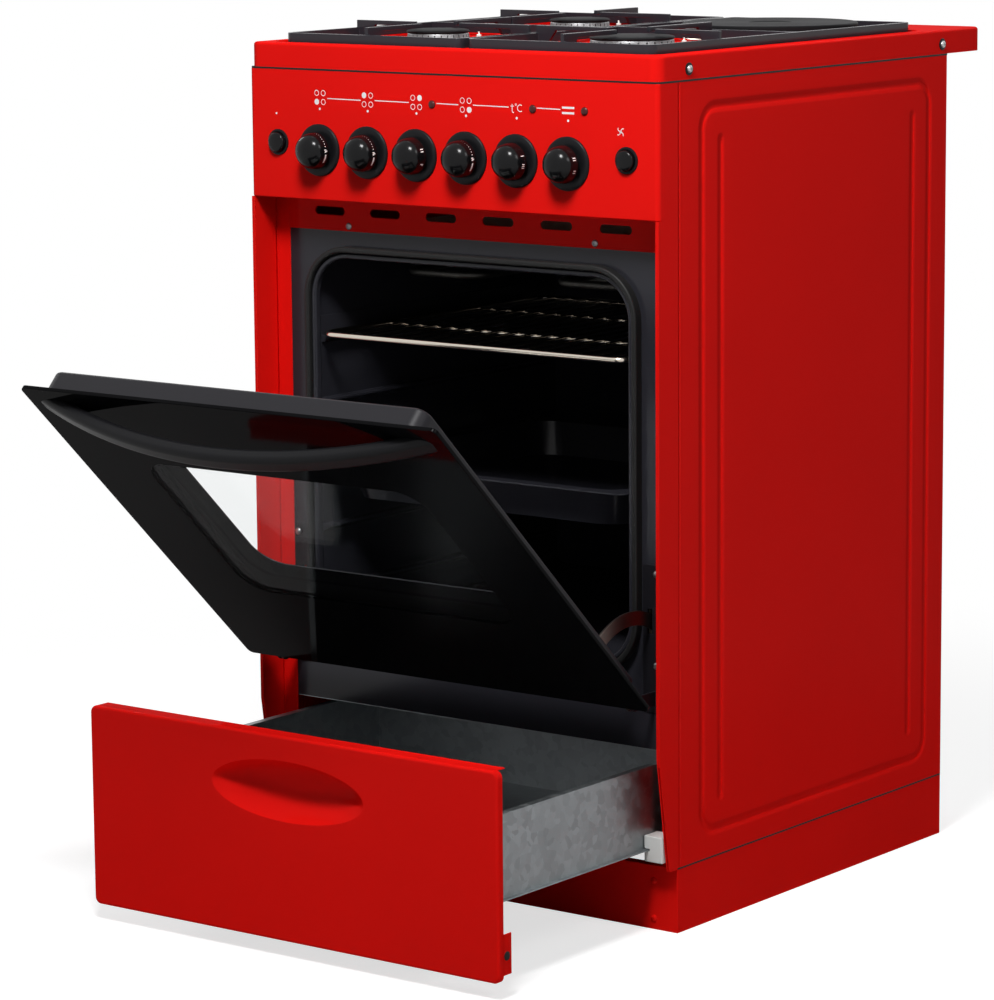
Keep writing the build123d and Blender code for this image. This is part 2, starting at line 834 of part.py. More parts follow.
def indicator_lenses():
    """Indicator lenses, held by a flange behind the panel."""
    inner = -sheet
    lens = turned([(0, inner - 6), (3, inner - 6), (3, inner - 1.5), (lens_radius + 1.3, inner - 1.5),
                   (lens_radius + 1.3, inner), (lens_radius - 0.2, inner), (lens_radius - 0.2, 0.8),
                   (lens_radius - 1.4, 1.8), (0, 2.2)])
    return group([on_panel(lens, x, knob_z + lens_rise, front_y) for x in lens_xs()])


# Oven


def opening_outline(step):
    """Outline of the oven opening, made larger all round by a step."""
    shape = RectangleRounded(opening_width + 2 * step, opening_height + 2 * step,
                             opening_corner + step)
    return Pos(0, opening_z) * shape


def oven_front_frame():
    """Enamelled front frame: opening with a raised lip, and slots for the hinge arms."""
    low, high = bay_top, frame_top
    face = Pos(0, (low + high) / 2) * Rectangle(2 * (flange_x + frame_overlap), high - low)
    face -= opening_outline(0)
    frame = upright(face, frame_y, sheet)
    lip = upright(opening_outline(lip_width) - opening_outline(0), frame_y - lip_height, lip_height)
    lip = fillet(lip.faces().sort_by(Axis.Y)[0].edges(), 2.5)
    frame += lip
    for slot in arm_slots(frame_y - 1, frame_y + 3):
        frame -= slot
    return frame


def arm_slots(y0, y1):
    """Clear ways for the curved hinge arms through an upright sheet."""
    x = (arm_x - 1.5, arm_x + arm_thickness + 1.5)
    depth = fin_depth
    low = sqrt(arm_inner ** 2 - (depth + 4) ** 2) - 3
    high = sqrt(arm_outer ** 2 - depth ** 2) + 4
    return pair(block(x, (y0, y1), (pivot_z + low, pivot_z + high)))


def oven_seal():
    """Door seal round the lip, just clear of the closed door."""
    step = lip_width + small_gap
    ring = opening_outline(step + seal_width) - opening_outline(step)
    face = door_inner_y + small_gap
    seal = upright(ring, face, frame_y - face)
    return fillet(seal.faces().sort_by(Axis.Y)[0].edges(), 2.2)


def oven_cavity():
    """Enamelled oven liner, open at the front, with the holes of lamp, fan and element."""
    outer = liner_box(sheet)
    inner = liner_box(0)
    liner = outer - inner
    for x in (-element_x, element_x):
        liner -= bar(element_radius + small_gap, (x, cavity_y - 5, element_z()),
                     (x, cavity_y + 5, element_z()))
    liner -= bar(fan_shaft + 2, (0, cavity_y - 5, fan_z), (0, cavity_y + 5, fan_z))
    liner -= bar(lamp_radius - 5, (lamp_x, cavity_y - 5, lamp_z), (lamp_x, cavity_y + 5, lamp_z))
    return liner


def liner_box(step):
    """The liner's inside, or its outside when a wall is added."""
    front = liner_y - (0 if step else 1)
    body = block(even(cavity_x + step), (front, cavity_y + step),
                 (cavity_z[0] - step, cavity_z[1] + step))
    return fillet(body.edges().filter_by(Axis.Y), cavity_corner + step)


def element_z():
    """Height of the upper heating element."""
    return cavity_z[1] - element_drop


def shelf_runners():
    """Side runners: a sheet on each wall with pressed ledges for shelf and tray."""
    low = runner_first - runner_height - 8
    high = runner_last + 20
    wall = block((cavity_x - sheet, cavity_x), runner_y, (low, high))
    outline = make_face(Polyline((cavity_x - sheet, -runner_height), (cavity_x - runner_ledge, -3),
                                 (cavity_x - runner_ledge, 0), (cavity_x - sheet, 0), close=True))
    ledge = extrude(facing_front(runner_y[1]) * outline, runner_y[1] - runner_y[0])
    for level in range(runner_levels):
        wall += Pos(0, 0, runner_first + runner_pitch * level) * ledge
    return group(pair(wall))


def oven_blanket():
    """Insulation wrapped round the liner, with a recess under it for the lower element."""
    x = cavity_x + sheet
    bottom = element_low_z() - element_radius - small_gap
    outer = block(even(x + blanket_side), (liner_y, cavity_y + sheet + blanket_rear),
                  (bottom - blanket_bottom, cavity_z[1] + sheet + blanket_top))
    outer -= block(even(x), (liner_y - 1, cavity_y + sheet), (bottom, cavity_z[1] + sheet))
    rear = (cavity_y, cavity_y + sheet + blanket_rear + 1)
    outer -= bar(motor_radius + 12, (0, rear[0], fan_z), (0, rear[1], fan_z))
    outer -= bar(lamp_radius, (lamp_x, rear[0], lamp_z), (lamp_x, rear[1], lamp_z))
    for x_end in (-element_x, element_x):
        outer -= bar(element_radius + 2, (x_end, rear[0], element_z()),
                     (x_end, rear[1], element_z()))
    return outer


def element_low_z():
    """Height of the lower heating element, under the liner's floor."""
    return cavity_z[0] - sheet - element_radius - 1


def heating_elements():
    """Upper grill element inside the oven and lower element under its floor."""
    z = element_z()
    rear = cavity_y + 14
    front = liner_y + 70
    outer, inner, back = element_x, element_loop_x, cavity_y - 110
    upper = [(-outer, rear, z), (-outer, front, z), (-inner, front, z), (-inner, back, z),
             (inner, back, z), (inner, front, z), (outer, front, z), (outer, rear, z)]
    low = element_low_z()
    side = lower_element_x
    lower = [(-side, cavity_y - 20, low), (-side, liner_y + 40, low), (side, liner_y + 40, low),
             (side, cavity_y - 20, low)]
    return group([tube_along(upper, element_radius, 24), tube_along(lower, element_radius, 30)])


def oven_lamp():
    """Oven lamp: ribbed glass dome on the rear wall and its socket behind."""
    lamp = turned([(0, -22), (lamp_radius - 6, -22), (lamp_radius - 6, 0), (lamp_radius, 0),
                   (lamp_radius, 4), (lamp_radius - 3, 12), (lamp_radius * 0.5, 18), (0, 20)])
    return on_panel(lamp, lamp_x, lamp_z, cavity_y)


def fan_cover():
    """Pressed fan cover with radial slots on the rear wall."""
    wall = fan_cover_depth
    rim = fan_cover_radius
    cover = turned([(0, wall), (rim - 8, wall), (rim, 0), (rim + 8, 0), (rim + 8, sheet),
                    (rim + 0.6, sheet), (rim - 7.4, wall + sheet), (0, wall + sheet)])
    slot = Pos(rim * 0.58, 0) * SlotOverall(rim * 0.5, 6)
    cut = extrude(Plane.XY.offset(wall - 2) * slot, sheet + 4)
    for i in range(12):
        cover -= Rot(0, 0, 30 * i) * cut
    return on_panel(cover, 0, fan_z, cavity_y)


def fan_blade():
    """Fan wheel: disc, folded vanes and the shaft that runs in the motor."""
    disc = Pos(0, 0, 4.6) * Cylinder(fan_blade_radius * 0.55, 1)
    hub = Pos(0, 0, 6) * Cylinder(9, 5)
    shaft = Pos(0, 0, -8) * Cylinder(fan_shaft, 30)
    wheel = disc + hub + shaft
    vane = block((fan_blade_radius * 0.5, fan_blade_radius), even(0.8), (4.1, 14))
    root = block((fan_blade_radius * 0.4, fan_blade_radius * 0.52), even(6), (4.1, 5.1))
    for i in range(fan_blade_count):
        wheel += Rot(0, 0, 360 * i / fan_blade_count) * (vane + root)
    return on_panel(wheel, 0, fan_z, cavity_y)


def fan_motor():
    """Fan motor behind the rear wall, with feet on the liner and a bore for the shaft."""
    body = Pos(0, 0, -sheet - 2 - motor_length / 2) * Cylinder(motor_radius, motor_length)
    feet = block(even(motor_radius + 8), even(9), (-sheet - 3, -sheet))
    motor = body + feet
    motor -= Pos(0, 0, -12) * Cylinder(fan_shaft + running_fit, 26)
    return on_panel(motor, 0, fan_z, cavity_y)


def heat_shield():
    """Sheet between the oven and the drawer bay, with a folded front."""
    z = (bay_top - sheet, bay_top)
    side = half_width - sheet - bead_depth
    shield = block(even(side), (liner_y, rear_y - 2 * sheet), z)
    shield += block(even(flange_x), (liner_y, liner_y + sheet), (z[0], z[1] + 14))
    return shield


def terminal_box():
    """Terminal box on the rear sheet with an empty cable gland below it."""
    rear = rear_y - sheet
    low = terminal_top - terminal_height
    box = block((terminal_x - terminal_width / 2, terminal_x + terminal_width / 2),
                (rear, rear + terminal_depth), (low, terminal_top))
    box = fillet(box.faces().sort_by(Axis.Y)[-1].edges(), 3)
    tip = low + 1 - gland_length
    gland = turned([(4.5, tip), (11, tip), (11, tip + 7), (8.5, tip + 8), (8.5, low + 1),
                    (4.5, low + 1)])
    gland = Pos(terminal_x, rear + terminal_depth / 2) * gland
    return box + gland


# Hinges


def hinge_bracket():
    """Right hinge bracket: a flange on the front frame and an ear that holds the pin."""
    plate_y = frame_y - bracket_sheet
    flange = block(bracket_x, (plate_y, frame_y), bracket_z)
    flange = fillet(flange.edges().filter_by(Axis.Y), 4)
    for slot in arm_slots(plate_y - 1, frame_y + 1):
        flange -= slot
    ear_x = arm_x + arm_thickness + 2.5
    ear = block((ear_x, ear_x + arm_thickness), (front_y, plate_y + 1),
                (pivot_z - arm_ear, pivot_z + arm_ear))
    ear += bar(arm_ear, (ear_x, front_y, pivot_z), (ear_x + arm_thickness, front_y, pivot_z))
    ear -= bar(pin_radius, (ear_x - 1, front_y, pivot_z), (ear_x + 5, front_y, pivot_z))
    return flange + ear


def hinge_pin():
    """Right hinge pin with a head at each end."""
    inner = arm_x - 1
    outer = arm_x + 2 * arm_thickness + 2.5
    pin = bar(pin_radius, (inner - 1.5, front_y, pivot_z), (outer + 1.5, front_y, pivot_z))
    pin += bar(4.6, (inner - 1.5, front_y, pivot_z), (inner, front_y, pivot_z))
    pin += bar(4.6, (outer, front_y, pivot_z), (outer + 1.5, front_y, pivot_z))
    return pin


def hinge_arm():
    """Right hinge arm, closed: ear, strap in the door and the curved tail through the frame."""
    ring = Circle(arm_outer) - Circle(arm_inner)
    far = 2 * arm_outer
    low = radians(arm_tail)
    sector = make_face(Polyline((0, 0), (far * cos(low), far * sin(low)), (far, far), (0, far),
                                close=True))
    strap_y = (0, arm_strap)
    strap = Pos(arm_strap / 2, arm_strap_height / 2) * Rectangle(arm_strap, arm_strap_height)
    outline = (ring & sector) + strap + Circle(arm_ear)
    outline -= Circle(pin_radius + running_fit)
    arm = extrude(facing_right(arm_x) * outline, arm_thickness)
    return Pos(*pivot) * arm


# Door, modelled closed and then swung to its rest angle


def swung(piece):
    """The door stands part open at rest."""
    return Pos(*pivot) * Rot(door_rest_angle, 0, 0) * Pos(*[-v for v in pivot]) * piece


def door_outer_glass():
    """Outer door glass over the full width."""
    face = Pos(0, pivot_z + door_lift + door_height / 2) * RectangleRounded(body_width, door_height, 6)
    return swung(upright(face, front_y - door_front, glass))


def window_outline(step):
    """Outline of the door's window, made larger all round by a step."""
    shape = RectangleRounded(window_width + 2 * step, window_height + 2 * step, window_corner)
    return Pos(0, pivot_z + window_bottom + window_height / 2) * shape


def door_frame():
    """Door frame: a pressed tray with a raised middle that closes on the seal, a window in it,
    and ways for the hinge arms through its bottom and its back."""
    back = front_y - door_front + glass
    bottom = pivot_z + door_body_lift
    top = pivot_z + door_lift + door_height - 3
    half = door_body_width / 2
    tray = door_pressing(half, (bottom, top), door_body_corner, (back, back + door_band_depth))
    tray += door_pressing(half - door_step, (bottom + door_step_bottom, top - door_step),
                          door_step_corner, (back + 1, door_inner_y))
    tray -= door_pressing(half - sheet, (bottom + sheet, top - sheet), door_body_corner - sheet,
                          (back - 1, back + door_band_depth - sheet))
    tray -= door_pressing(half - door_step - sheet,
                          (bottom + door_step_bottom + sheet, top - door_step - sheet),
                          door_step_corner - sheet, (back - 1, door_inner_y - sheet))
    tray -= upright(window_outline(0), door_inner_y - 5, 10)
    x = (arm_x - 1, arm_x + arm_thickness + 1)
    low = sqrt(arm_inner ** 2 - door_band_depth ** 2)
    for piece in pair(block(x, (back - 1, front_y + arm_strap + 1), (bottom - 1, bottom + 3))):
        tray -= piece
    for piece in pair(block(x, (back + door_band_depth - 3, back + door_band_depth + 1),
                            (pivot_z + low - 2, pivot_z + arm_outer))):
        tray -= piece
    return swung(tray)


def door_pressing(half, z, corner, y):
    """A shallow pressing of the door with rounded corners and a rounded rear edge."""
    outline = Pos(0, sum(z) / 2) * RectangleRounded(2 * half, z[1] - z[0], corner)
    body = upright(outline, y[0], y[1] - y[0])
    return fillet(body.faces().sort_by(Axis.Y)[-1].edges(), 3)


def door_inner_glass():
    """Inner door glass behind the window of the frame."""
    inside = door_inner_y - sheet
    return swung(upright(window_outline(window_frame), inside - glass, glass))


def door_handle():
    """Bow handle: a chamfered bar bent to an arc, cut flush where it meets the glass."""
    face_y = front_y - door_front
    end = half_width - handle_inset
    radius = (end ** 2 + handle_reach ** 2) / (2 * handle_reach)
    half_angle = degrees(asin(end / radius)) + 2
    z = pivot_z + door_lift + door_height - handle_drop
    section = chamfer(Rectangle(handle_thickness, handle_height).vertices(), handle_chamfer)
    ring = revolve(Plane.XZ * Pos(radius - handle_thickness / 2, 0) * section, Axis.Z,
                   revolution_arc=2 * half_angle)
    bow = Pos(0, face_y - handle_reach + radius, z) * Rot(0, 0, -90 - half_angle) * ring
    front = block(even(half_width), (face_y - 2 * handle_reach, face_y), (z - 50, z + 50))
    return swung(bow & front)


# Drawer, modelled closed and then pulled out


def pulled(piece):
    """The drawer stands pulled out at rest."""
    return Pos(0, -drawer_rest_travel, 0) * piece


def drawer_front_panel():
    """Pressed drawer front: returns all round, lower side tabs and an elliptical finger scoop."""
    y = front_y - drawer_front
    front = upright(drawer_outline(0), y, drawer_return)
    front = fillet(front.faces().sort_by(Axis.Y)[0].edges(), drawer_edge)
    front -= upright(drawer_outline(sheet), y + sheet, drawer_return)
    top = block(even(half_width - fin_width - 2), (y + drawer_return - 1, y + drawer_top_return),
                (drawer_top - sheet, drawer_top))
    front += top
    for tab in pair(block((half_width - sheet, half_width), (y + drawer_return - 1, y + drawer_tab),
                          (drawer_bottom + drawer_corner, drawer_tab_top))):
        front += tab
    front += scoop(y, sheet)
    front -= scoop(y, 0)
    return pulled(front)


def drawer_outline(wall):
    """Outline of the drawer front with its rounded corners, or of its inside behind a wall."""
    shape = RectangleRounded(2 * (half_width - wall), drawer_top - drawer_bottom - 2 * wall,
                             drawer_corner - wall)
    return Pos(0, (drawer_top + drawer_bottom) / 2) * shape


def scoop(y, step):
    """Half of an ellipsoid pressed into the drawer front."""
    size = (pull_width / 2 + step, pull_depth + step, pull_height / 2 + step)
    bowl = Pos(0, y, pull_z) * scale(Sphere(1), by=size)
    return bowl & block(even(half_width), (y - (0 if step else 1), y + 2 * pull_depth),
                        (drawer_bottom, drawer_top))


def drawer_box():
    """Galvanised drawer box: open top, folded rim and the side rails that run in the guides."""
    start = front_y - drawer_front + sheet
    end = rear_y - drawer_rear_gap
    x = drawer_box_width / 2
    box = block(even(x), (start, end), (drawer_box_bottom, drawer_box_top))
    box -= block(even(x - sheet), (start + sheet, end - sheet),
                 (drawer_box_bottom + sheet, drawer_box_top + 1))
    box -= scoop(front_y - drawer_front, sheet + small_gap)
    for rail in pair(block((x - 1, x + drawer_rail_width), (start + 24, end),
                           (drawer_box_bottom, drawer_box_bottom + sheet))):
        box += rail
    for rim in pair(block((x - 8, x), (start + 24, end), (drawer_box_top - sheet, drawer_box_top))):
        box += rim
    return pulled(box)


def drawer_buffers():
    """Rubber buffers in the drawer front's lower tabs."""
    y = front_y - drawer_front + drawer_tab / 2 + 3
    z = (drawer_bottom + drawer_tab_top) / 2
    buffer = bar(5, (half_width - sheet - 4, y, z), (half_width - sheet, y, z))
    return group([pulled(piece) for piece in pair(buffer)])


def drawer_guides():
    """White plastic guides on the front flanges, slotted for the drawer's rails."""
    x = drawer_box_width / 2
    inner = x + 0.6
    guide = block((inner, inner + guide_width), (flange_y - guide_length, flange_y),
                  (drawer_box_bottom - 11, drawer_box_bottom - 11 + guide_height))
    guide = fillet(guide.edges().filter_by(Axis.Z), 2)
    slot = block((x, x + drawer_rail_width + drawer_play), (flange_y - guide_length - 1, flange_y + 1),
                 (drawer_box_bottom - 0.6, drawer_box_bottom + sheet + 0.6))
    return group(pair(guide - slot))


def drawer_rails():
    """Angle rails on the side panels, under the drawer's own rails."""
    wall_x = half_width - sheet
    ledge_top = drawer_box_bottom - drawer_play
    y = (liner_y, rear_y - 2 * sheet)
    rail = block((wall_x - sheet, wall_x), y, (ledge_top - 14, ledge_top + 3))
    rail += block((drawer_box_width / 2 + 1, wall_x), y, (ledge_top - sheet, ledge_top))
    return group(pair(rail))


# Shelf and tray, inside the oven at rest


def level_z(level):
    """Height of the ledge that carries a shelf or tray, counted from the lowest."""
    return runner_first + runner_pitch * level + small_gap


def oven_shelf():
    """Chromed wire shelf: a rounded rim, long wires and two cross wires."""
    z = level_z(shelf_level) + shelf_rim
    x = insert_width / 2 - shelf_rim
    y = (insert_front + shelf_rim, insert_front + shelf_depth - shelf_rim)
    rim_path = Plane.XY.offset(z) * Pos(0, (y[0] + y[1]) / 2) * RectangleRounded(2 * x, y[1] - y[0], 14)
    route = rim_path.wire()
    start = Plane(origin=route @ 0, z_dir=route % 0)
    shelf = sweep(start * Circle(shelf_rim), path=route)
    for i in range(shelf_wires):
        wire_x = (insert_width / 2 - shelf_wire_margin) * (2 * i / (shelf_wires - 1) - 1)
        shelf += bar(shelf_wire, (wire_x, y[0], z + 1), (wire_x, y[1], z + 1))
    for place in (0.3, 0.7):
        cross_y = y[0] + (y[1] - y[0]) * place
        shelf += bar(shelf_wire + 0.5, (-x, cross_y, z - 1), (x, cross_y, z - 1))
    return shelf


def baking_tray():
    """Enamelled baking tray: drawn bowl with rounded corners and a flat rim."""
    rim_z = level_z(tray_level)
    middle_y = insert_front + tray_depth / 2
    mouth = (insert_width - 2 * tray_rim, tray_depth - 2 * tray_rim)
    rim = Pos(0, middle_y, rim_z) * extrude(RectangleRounded(insert_width, tray_depth, 16), sheet)
    outer = bowl(mouth, rim_z + sheet, 0)
    inner = bowl(mouth, rim_z + sheet, sheet)
    tray = rim + Pos(0, middle_y) * outer - Pos(0, middle_y) * inner
    return tray


def bowl(mouth, top, wall):
    """Tapered body of the tray from its mouth down to its floor."""
    floor = top - tray_height + wall
    lid = 1 if wall else 0
    upper = RectangleRounded(mouth[0] - 2 * wall, mouth[1] - 2 * wall, tray_corner - wall)
    lower = RectangleRounded(mouth[0] - 2 * (wall + tray_draft), mouth[1] - 2 * (wall + tray_draft),
                             tray_corner - wall)
    body = loft([Plane.XY.offset(floor) * lower, Plane.XY.offset(top) * upper])
    if lid:
        body += extrude(Plane.XY.offset(top - 0.01) * upper, lid)
    return body


# Fasteners


def cabinet_screws():
    """Screws with washers on the hob's skirt, and screws of plinth, vent strip and brackets."""
    screws = []
    for y in hob_screw_ys():
        washer = turned([(0, 0), (6, 0), (6, 1), (4, 1.2), (3.6, 2.6), (2, 3.2), (0, 3.2)])
        screw = Pos(half_width, y, hob_height - hob_screw_drop) * Rot(0, 90, 0) * washer
        screws += pair(screw)
    head = turned([(0, 0), (3.6, 0), (3.4, 1.2), (2, 2), (0, 2)])
    for z in (11, 49):
        screws += pair(Pos(half_width - 28, -rear_y, z) * Rot(90, 0, 0) * head)
    vent_screw = Pos(half_width - vent_screw_inset, flange_y, vent_bottom + 5)
    screws += pair(vent_screw * Rot(90, 0, 0) * head)
    bracket_y = frame_y - bracket_sheet
    for z in (bracket_z[0] + 46, bracket_z[1] - 9):
        screws += pair(Pos(bracket_x[1] - 5, bracket_y, z) * Rot(90, 0, 0) * head)
    return group(screws)


def build():
    """Every sub-part under its own name."""
    parts = {
        "side_panel_right": side_panel(),
        "plinth": plinth(),
        "rear_panel": rear_panel(),
        "control_panel": control_panel(),
        "vent_strip": vent_strip(),
        "hob_top": hob_top(),
        "burner_cups": burner_cups(),
        "burner_crowns": burner_crowns(),
        "burner_caps": burner_caps(),
        "spark_electrodes": spark_electrodes(),
        "hotplate": hotplate(),
        "hotplate_ring": hotplate_ring(),
        "pan_support_left": pan_support((burner_front, burner_rear), -1),
        "pan_support_right": pan_support((burner_front,), 1),
        "gas_taps": gas_taps(),
        "burner_pipes": burner_pipes(),
        "gas_manifold": gas_manifold(),
        "crossbar": crossbar(),
        "panel_switches": panel_switches(),
        "ignition_button": push_button(-button_x),
        "fan_button": push_button(button_x),
        "bezels": bezels(),
        "indicator_lenses": indicator_lenses(),
        "oven_front_frame": oven_front_frame(),
        "oven_seal": oven_seal(),
        "oven_cavity": oven_cavity(),
        "shelf_runners": shelf_runners(),
        "oven_blanket": oven_blanket(),
        "heating_elements": heating_elements(),
        "oven_lamp": oven_lamp(),
        "fan_cover": fan_cover(),
        "fan_blade": fan_blade(),
        "fan_motor": fan_motor(),
        "heat_shield": heat_shield(),
        "terminal_box": terminal_box(),
        "hinge_brackets": group(pair(hinge_bracket())),
        "hinge_pins": group(pair(hinge_pin())),
        "hinge_arms": group([swung(arm) for arm in pair(hinge_arm())]),
        "door_outer_glass": door_outer_glass(),
        "door_frame": door_frame(),
        "door_inner_glass": door_inner_glass(),
        "door_handle": door_handle(),
        "drawer_front": drawer_front_panel(),
        "drawer_box": drawer_box(),
        "drawer_buffers": drawer_buffers(),
        "drawer_guides": drawer_guides(),
        "drawer_rails": drawer_rails(),
        "oven_shelf": oven_shelf(),
        "baking_tray": baking_tray(),
        "cabinet_screws": cabinet_screws(),
    }
    parts["side_panel_left"] = mirror(parts["side_panel_right"], about=Plane.YZ)
    for i in gas_knobs:
        parts[f"knob_{i + 1}"] = gas_knob(knob_xs[i])
        parts[f"tap_plug_{i + 1}"] = tap_plug(knob_xs[i])
    for i in electric_knobs:
        parts[f"knob_{i + 1}"] = electric_knob(knob_xs[i])
    return parts


os.makedirs("parts", exist_ok=True)
for name, shape in build().items():
    export_step(shape, f"parts/{name}.step")
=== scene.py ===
# %% [markdown]
# # Dressing a gas-electric range
#
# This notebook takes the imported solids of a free-standing range and gives them the surfaces that a
# person sees: enamel, printed glass, pressed steel, chromed wire and moulded knobs. Sheets whose
# solids already have the right shape are copied and get softened edges. Pieces whose beauty lies in
# their curves are modelled again with Blender's own tools, in the same place.

# %% Load the solids and keep the size of the whole
import json
from contextlib import contextmanager
from math import asin, atan2, cos, degrees, pi, radians, sin, sqrt

import bmesh
import bpy
from mathutils import Matrix, Vector

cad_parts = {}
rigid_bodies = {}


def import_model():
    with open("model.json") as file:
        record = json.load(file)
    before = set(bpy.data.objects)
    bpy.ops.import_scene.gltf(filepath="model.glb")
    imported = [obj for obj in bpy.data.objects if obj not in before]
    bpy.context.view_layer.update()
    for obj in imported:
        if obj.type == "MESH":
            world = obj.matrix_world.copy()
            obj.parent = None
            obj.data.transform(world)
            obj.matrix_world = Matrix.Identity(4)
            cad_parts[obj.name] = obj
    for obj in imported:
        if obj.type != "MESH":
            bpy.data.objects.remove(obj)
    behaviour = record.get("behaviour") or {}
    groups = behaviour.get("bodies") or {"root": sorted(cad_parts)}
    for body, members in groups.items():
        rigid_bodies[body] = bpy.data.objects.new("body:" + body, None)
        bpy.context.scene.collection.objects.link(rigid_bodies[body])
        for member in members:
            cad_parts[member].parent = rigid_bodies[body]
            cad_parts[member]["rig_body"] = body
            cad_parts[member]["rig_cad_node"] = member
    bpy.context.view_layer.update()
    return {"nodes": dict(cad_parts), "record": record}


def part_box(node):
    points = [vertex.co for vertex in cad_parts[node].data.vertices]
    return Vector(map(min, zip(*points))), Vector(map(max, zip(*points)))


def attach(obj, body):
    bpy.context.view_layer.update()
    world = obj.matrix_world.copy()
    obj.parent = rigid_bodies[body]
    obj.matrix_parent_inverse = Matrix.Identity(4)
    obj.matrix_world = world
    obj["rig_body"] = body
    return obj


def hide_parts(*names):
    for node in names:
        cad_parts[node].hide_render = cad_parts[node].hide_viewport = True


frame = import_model()

# %% [markdown]
# ## Sizes
#
# All lengths are in metres. The door and the drawer are modelled shut, where they are easy to
# measure, and then moved to where they stand in this scene. The numbers below are the ones that
# several pieces share, so that a knob, its disc and its print stay on one centre.

# %% Shared sizes
MM = 0.001
FRONT = -0.275
REAR = 0.245
FLANGE = -0.241
HALF_WIDTH = 0.25
PANEL_TOP = 0.8255
HINGE_Z = 0.229
DOOR_ANGLE = radians(46.5)
DRAWER_OUT = 0.248
KNOB_XS = [-0.1605, -0.0995, -0.0385, 0.0225, 0.0835, 0.1445]
KNOB_Z = 0.745
KNOB_BACK = -0.282
GAS_KNOBS = (0, 1, 3)
BUTTON_XS = (-0.2135, 0.2135)
BUTTON_Z = 0.751
LENS_XS = (-0.018, 0.104, 0.165)
LENS_Z = 0.7955
BURNERS = [(-0.12, -0.133, 0.036), (-0.12, 0.111, 0.036), (0.12, -0.133, 0.046)]
HOTPLATE = (0.12, 0.111)
WELL_Z = 0.846

slot_of = {part["node"]: part["material_slot"] for part in frame["record"]["subparts"]}
body_of = {member: body for body, members in frame["record"]["behaviour"]["bodies"].items()
           for member in members}

# %% [markdown]
# ## Working by hand, in code
#
# Blender's operators act on whatever is selected. These small helpers do what a person does with
# the mouse: clear the selection, enter edit mode, and pick faces or edges by where they are.


# %% Selection and edit mode
def clear_selection():
    bpy.ops.object.select_all(action="DESELECT")


def choose(*pieces):
    """Select these pieces and nothing else, the first of them as the active one."""
    clear_selection()
    for piece in pieces:
        piece.select_set(True)
    bpy.context.view_layer.objects.active = pieces[0]


@contextmanager
def edit_mode(piece):
    choose(piece)
    bpy.ops.object.mode_set(mode="EDIT")
    yield
    bpy.ops.object.mode_set(mode="OBJECT")


@contextmanager
def whole_mesh(piece):
    """Edit mode with everything selected."""
    with edit_mode(piece):
        bpy.ops.mesh.select_all(action="SELECT")
        yield


def pick(piece, kind, rule):
    """Select the vertices, edges or faces that the rule accepts."""
    mesh = bmesh.from_edit_mesh(piece.data)
    bpy.ops.mesh.select_mode(type=kind)
    bpy.ops.mesh.select_all(action="DESELECT")
    items = {"VERT": mesh.verts, "EDGE": mesh.edges, "FACE": mesh.faces}[kind]
    chosen = [item for item in items if rule(item)]
    for item in chosen:
        item.select_set(True)
    mesh.select_flush_mode()
    bmesh.update_edit_mesh(piece.data)
    return len(chosen)


# %% [markdown]
# A new primitive arrives selected and named by Blender. It gets a plain name at once, so that the
# list of pieces reads like a parts list. A modifier is applied as soon as it is set, because the
# next step works on the shape that it leaves.


# %% Primitives and modifiers
def name_it(name):
    piece = bpy.context.object
    piece.name = name
    piece.data.name = name
    return piece


def write_place(piece):
    """Write a piece's place, turn and size into its mesh."""
    choose(piece)
    bpy.ops.object.transform_apply(location=True, rotation=True, scale=True)


def block(name, middle, size):
    """A box, from its middle and its three lengths."""
    clear_selection()
    bpy.ops.mesh.primitive_cube_add(size=1, location=middle)
    piece = name_it(name)
    bpy.ops.transform.resize(value=size)
    write_place(piece)
    return piece


def from_points(name, points, edges=(), faces=()):
    """A piece drawn point by point, where an outline follows a formula."""
    mesh = bpy.data.meshes.new(name)
    mesh.from_pydata(points, edges, faces)
    piece = bpy.data.objects.new(name, mesh)
    bpy.context.scene.collection.objects.link(piece)
    return piece


def apply_all(piece):
    choose(piece)
    for modifier in list(piece.modifiers):
        bpy.ops.object.modifier_apply(modifier=modifier.name)


def soften(piece, width, segments=2, angle=30):
    """Round every edge that is sharper than the angle, and keep the flat faces flat."""
    bevel = piece.modifiers.new("soft edges", "BEVEL")
    bevel.width = width
    bevel.segments = segments
    bevel.limit_method = "ANGLE"
    bevel.angle_limit = radians(angle)
    apply_all(piece)


def even_light(piece):
    """Let the large faces rule the shading, so that small roundings don't smear over them."""
    weigh = piece.modifiers.new("face weight", "WEIGHTED_NORMAL")
    weigh.mode = "FACE_AREA"
    weigh.weight = 60
    weigh.keep_sharp = True
    apply_all(piece)


def thicken(piece, thickness, offset=-1.0):
    wall = piece.modifiers.new("wall", "SOLIDIFY")
    wall.thickness = thickness
    wall.offset = offset
    apply_all(piece)


def cut_away(piece, cutters):
    """Take the cutters' shapes out of the piece, and throw the cutters away."""
    for cutter in cutters:
        cut = piece.modifiers.new("cut", "BOOLEAN")
        cut.operation = "DIFFERENCE"
        cut.object = cutter
        cut.solver = "EXACT"
    apply_all(piece)
    throw_away(cutters)


# %% [markdown]
# What repeats is modelled once. Each copy has a mesh of its own and is put down with its place
# written into that mesh, so that a finished object always sits at the origin.


# %% Copying, placing and joining
def copy_of(piece):
    twin = piece.copy()
    twin.data = piece.data.copy()
    bpy.context.scene.collection.objects.link(twin)
    return twin


def place(piece, location, rotation=(0, 0, 0)):
    piece.location = location
    piece.rotation_euler = rotation
    write_place(piece)


def join(name, pieces):
    choose(*pieces)
    bpy.ops.object.join()
    return name_it(name)


def throw_away(pieces):
    choose(*pieces)
    bpy.ops.object.delete()


